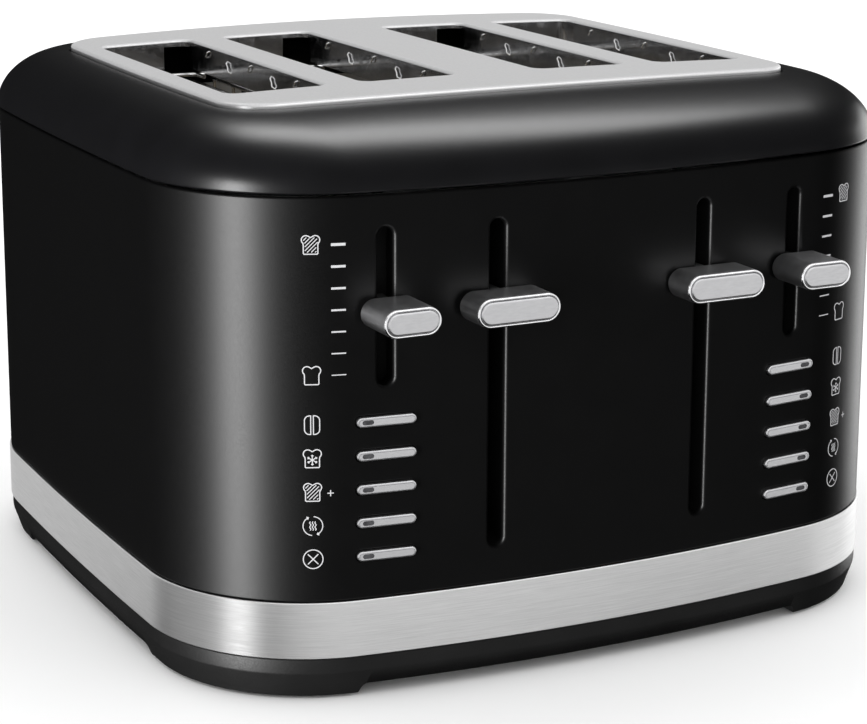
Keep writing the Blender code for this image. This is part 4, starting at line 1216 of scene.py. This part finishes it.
def chassis():
    """The folded sheet round the toasting space, with notches in its rear wall, and the front plate."""
    x, front, rear = CHASSIS_HALF_X, CHASSIS_FRONT_Y + SHEET, CHASSIS_REAR_Y
    bend, in_x, in_rear = 0.0025, CHASSIS_HALF_X - SHEET, CHASSIS_REAR_Y - SHEET
    outer = [(-x, front, 0), (-x, rear, 0), (x, rear, 0), (x, front, 0)]
    inner = [(in_x, front, 0), (in_x, in_rear, 0), (-in_x, in_rear, 0), (-in_x, front, 0)]
    sheet = fillet_path(outer, bend + SHEET, 6) + fillet_path(inner, bend, 6)
    shell = prism("chassis_shell_sheet", [(p.x, p.y) for p in sheet], (CHASSIS_LOW, CHASSIS_HIGH), 2, ZINC)
    tools = []
    notch, vent = rounded_box(0.007, 0.062, 0.003), rounded_box(0.004, 0.04, 0.0039)
    for name, _, cx in SLOTS:
        here = [(cx + u, 0.123 + v) for u, v in notch]
        tools.append(prism(f"t12{name}", here, (rear - 0.004, rear + 0.003), 1))
    for sx in (-1, 1):
        for k in range(-3, 4):
            here = [(SLOT_Y + 0.02 * k + u, 0.105 + v) for u, v in vent]
            tools.append(prism(f"t13{sx}{k}", here, (sx * x - 0.004, sx * x + 0.004), 0))
    carve(shell, tools)
    place(shell, BODY, ["chassis_shell"])
    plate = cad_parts["chassis_front_plate"]
    repaint(plate, ZINC)
    soften(plate, 0.00025, 2)


def crumb_trays():
    """Pans with ribbed floors; the rear of each is a piece of the band."""
    front, edge, floor_z = CHASSIS_FRONT_Y + 0.003, 2 * GAP, TRAY_Z[0] + SHEET
    wall = edge + SHEET
    for side, sign in SIDES:
        xs = sorted((sign * TRAY_SPAN[0], sign * TRAY_SPAN[1]))
        pan = loft("pan", [WALLS.ring(z, 0.0002) for z in TRAY_Z], ZINC)
        carve(pan, [block("t14", (xs[0] + edge, front, 0.0), (xs[1] - edge, 0.2, 0.05))], "INTERSECT")
        pocket = loft("t15", [WALLS.ring(z, 0.0012) for z in (floor_z, TRAY_Z[1] + 0.01)])
        room = block("t16", (xs[0] + wall, front + SHEET, 0.0), (xs[1] - wall, 0.2, 0.05))
        carve(pocket, [room], "INTERSECT")
        carve(pan, [pocket])
        soften(pan, 0.0003, 2)
        face = loft("face", band_rings(), BAND, True)
        carve(face, [window_tool("t17", sign, GAP)], "INTERSECT")
        parts = [pan, face]
        for k in range(-2, 3):
            x = sum(xs) / 2 + k * 0.017
            low = (x - 0.0015, front + 0.012, floor_z - 0.0003)
            parts.append(block("rib", low, (x + 0.0015, 0.112, floor_z + 0.0006), ZINC, 0.0005))
        place(merge(f"crumb_tray_{side}_pan", parts), f"crumb_tray_{side}", [f"crumb_tray_{side}"])


levers_and_sliders()
push_buttons()
prints()
guards()
racks()
heaters()
lever_works()
boards()
chassis()
crumb_trays()

# ---------------------------------------------------------------- floor, light and camera


def floor():
    """A plain white floor: reflections and the softboxes pass it by, so only its soft contact shadow shows."""
    paint_white = material("white floor", 0.96, 0.6, 0.0, ((3.0,), 0.955, 0.965), specular=0.0)
    size = 6.0
    corners = [(-size, -size, 0), (size, -size, 0), (size, size, 0), (-size, size, 0)]
    ground = piece("floor", corners, [(0, 1, 2, 3)], paint_white, 35.0, False)
    ground.visible_glossy = False
    ground.visible_shadow = False
    ground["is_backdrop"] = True


def aimed_light(name, receivers, at, towards, size, radiance):
    """A softbox of that radiance, which lights only the pieces of one group."""
    light = bpy.data.lights.new(name, "AREA")
    light.shape = "RECTANGLE"
    light.size, light.size_y = size
    light.energy = radiance * pi * size[0] * size[1]
    lamp = link_in(bpy.data.objects.new(name, light))
    lamp.location = at
    lamp.rotation_euler = (Vector(towards) - Vector(at)).to_track_quat("-Z", "Y").to_euler()
    lamp.visible_camera = False
    lamp.light_linking.receiver_collection = receivers


def polar(azimuth, elevation, distance):
    """A point round the object: azimuth from straight ahead of it towards its right as seen from the front."""
    a, e = radians(azimuth), radians(elevation)
    return (distance * cos(e) * sin(a), -distance * cos(e) * cos(a), distance * sin(e))


def surroundings():
    """White to the camera and to diffuse light, and dark to reflections, which see the softboxes instead."""
    world = bpy.data.worlds.new("studio")
    bpy.context.scene.world = world
    world.use_nodes = True
    world.cycles.sampling_method = "NONE"
    tree = world.node_tree
    back = tree.nodes["Background"]
    back.inputs["Color"].default_value = (1.0, 1.0, 1.0, 1.0)
    rays = tree.nodes.new("ShaderNodeLightPath")
    total = None
    for ray, strength in (("Is Camera Ray", 0.99), ("Is Diffuse Ray", 1.3)):
        made = tree.nodes.new("ShaderNodeMath")
        made.operation = "MULTIPLY_ADD"
        made.inputs[1].default_value = strength
        made.inputs[2].default_value = 0.012
        tree.links.new(rays.outputs[ray], made.inputs[0])
        if total:
            tree.links.new(total, made.inputs[2])
        total = made.outputs[0]
    tree.links.new(total, back.inputs["Strength"])


def is_metal(obj):
    shaders = [m.node_tree.nodes["Principled BSDF"] for m in obj.data.materials]
    return any(shader.inputs["Metallic"].default_value > 0.5 for shader in shaders)


def softboxes():
    """Metal sees broad white panels all round; black paint sees a few strips, for its narrow highlights."""
    metal_group, black = bpy.data.collections.new("metal pieces"), bpy.data.collections.new("black pieces")
    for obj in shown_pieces():
        if "slot_shade" not in obj.name and "control_board" not in obj.name:
            (metal_group if is_metal(obj) else black).objects.link(obj)
    middle, origin, reach, near = (0.0, 0.0, 0.12), (0.0, 0.0, 0.0), 2.4, 1.8
    panels = (("front", 0, 1.12), ("right", 90, 1.1), ("rear", 180, 0.72), ("left", -90, 0.5))
    for name, azimuth, radiance in panels:
        x, y, _ = polar(azimuth, 0.0, reach)
        aimed_light(f"{name} panel", metal_group, (x, y, 0.5), (0.0, 0.0, 0.5), (2 * reach, 3.2), radiance)
    aimed_light("top panel", metal_group, (0.0, 0.0, 2.1), middle, (2 * reach, 2 * reach), 1.1)
    aimed_light("front strip", metal_group, polar(15, 48, 2.0), middle, (1.8, 0.35), 2.4)
    strips = (("left", -68, (0.5, 1.5), 18.0, 2.3), ("right", 108, (0.85, 1.1), 2.7, 0.7))
    for name, azimuth, size, on_paint, on_steel in strips:
        at = (*polar(azimuth, 0.0, near)[:2], 0.0)
        aimed_light(f"{name} strip", black, at, origin, size, on_paint)
        aimed_light(f"{name} steel strip", metal_group, at, origin, size, on_steel)
    aimed_light("overhead strip", black, polar(142, 62, near), middle, (1.3, 0.6), 6.6)
    aimed_light("front fill", black, polar(26, -8, near), middle, (1.8, 1.4), 0.085)


def studio():
    """Floor, light, and a camera fitted to the photograph: focal length in pixels of its width, then the pose."""
    focal_pixels, photo_width, sensor = 2516.0, 867.0, 36.0
    floor()
    surroundings()
    softboxes()
    camera = bpy.data.cameras.new("camera")
    camera.sensor_width = sensor
    camera.lens = focal_pixels / photo_width * sensor
    camera.shift_y = -0.08
    camera.clip_start, camera.clip_end = 0.01, 50.0
    eye = link_in(bpy.data.objects.new("camera", camera))
    azimuth, pitch, roll = 0.4599, 0.2305, 0.003
    level = cos(pitch)
    back = Vector((-sin(azimuth) * level, -cos(azimuth) * level, sin(pitch)))
    eye.location = (-0.4377, -0.8879, 0.3414)
    eye.rotation_mode = "QUATERNION"
    eye.rotation_quaternion = (-back).to_track_quat("-Z", "Y") @ Matrix.Rotation(roll, 3, "Z").to_quaternion()
    bpy.context.scene.camera = eye
    bpy.context.scene.view_settings.view_transform = "Standard"


studio()
bpy.context.view_layer.update()
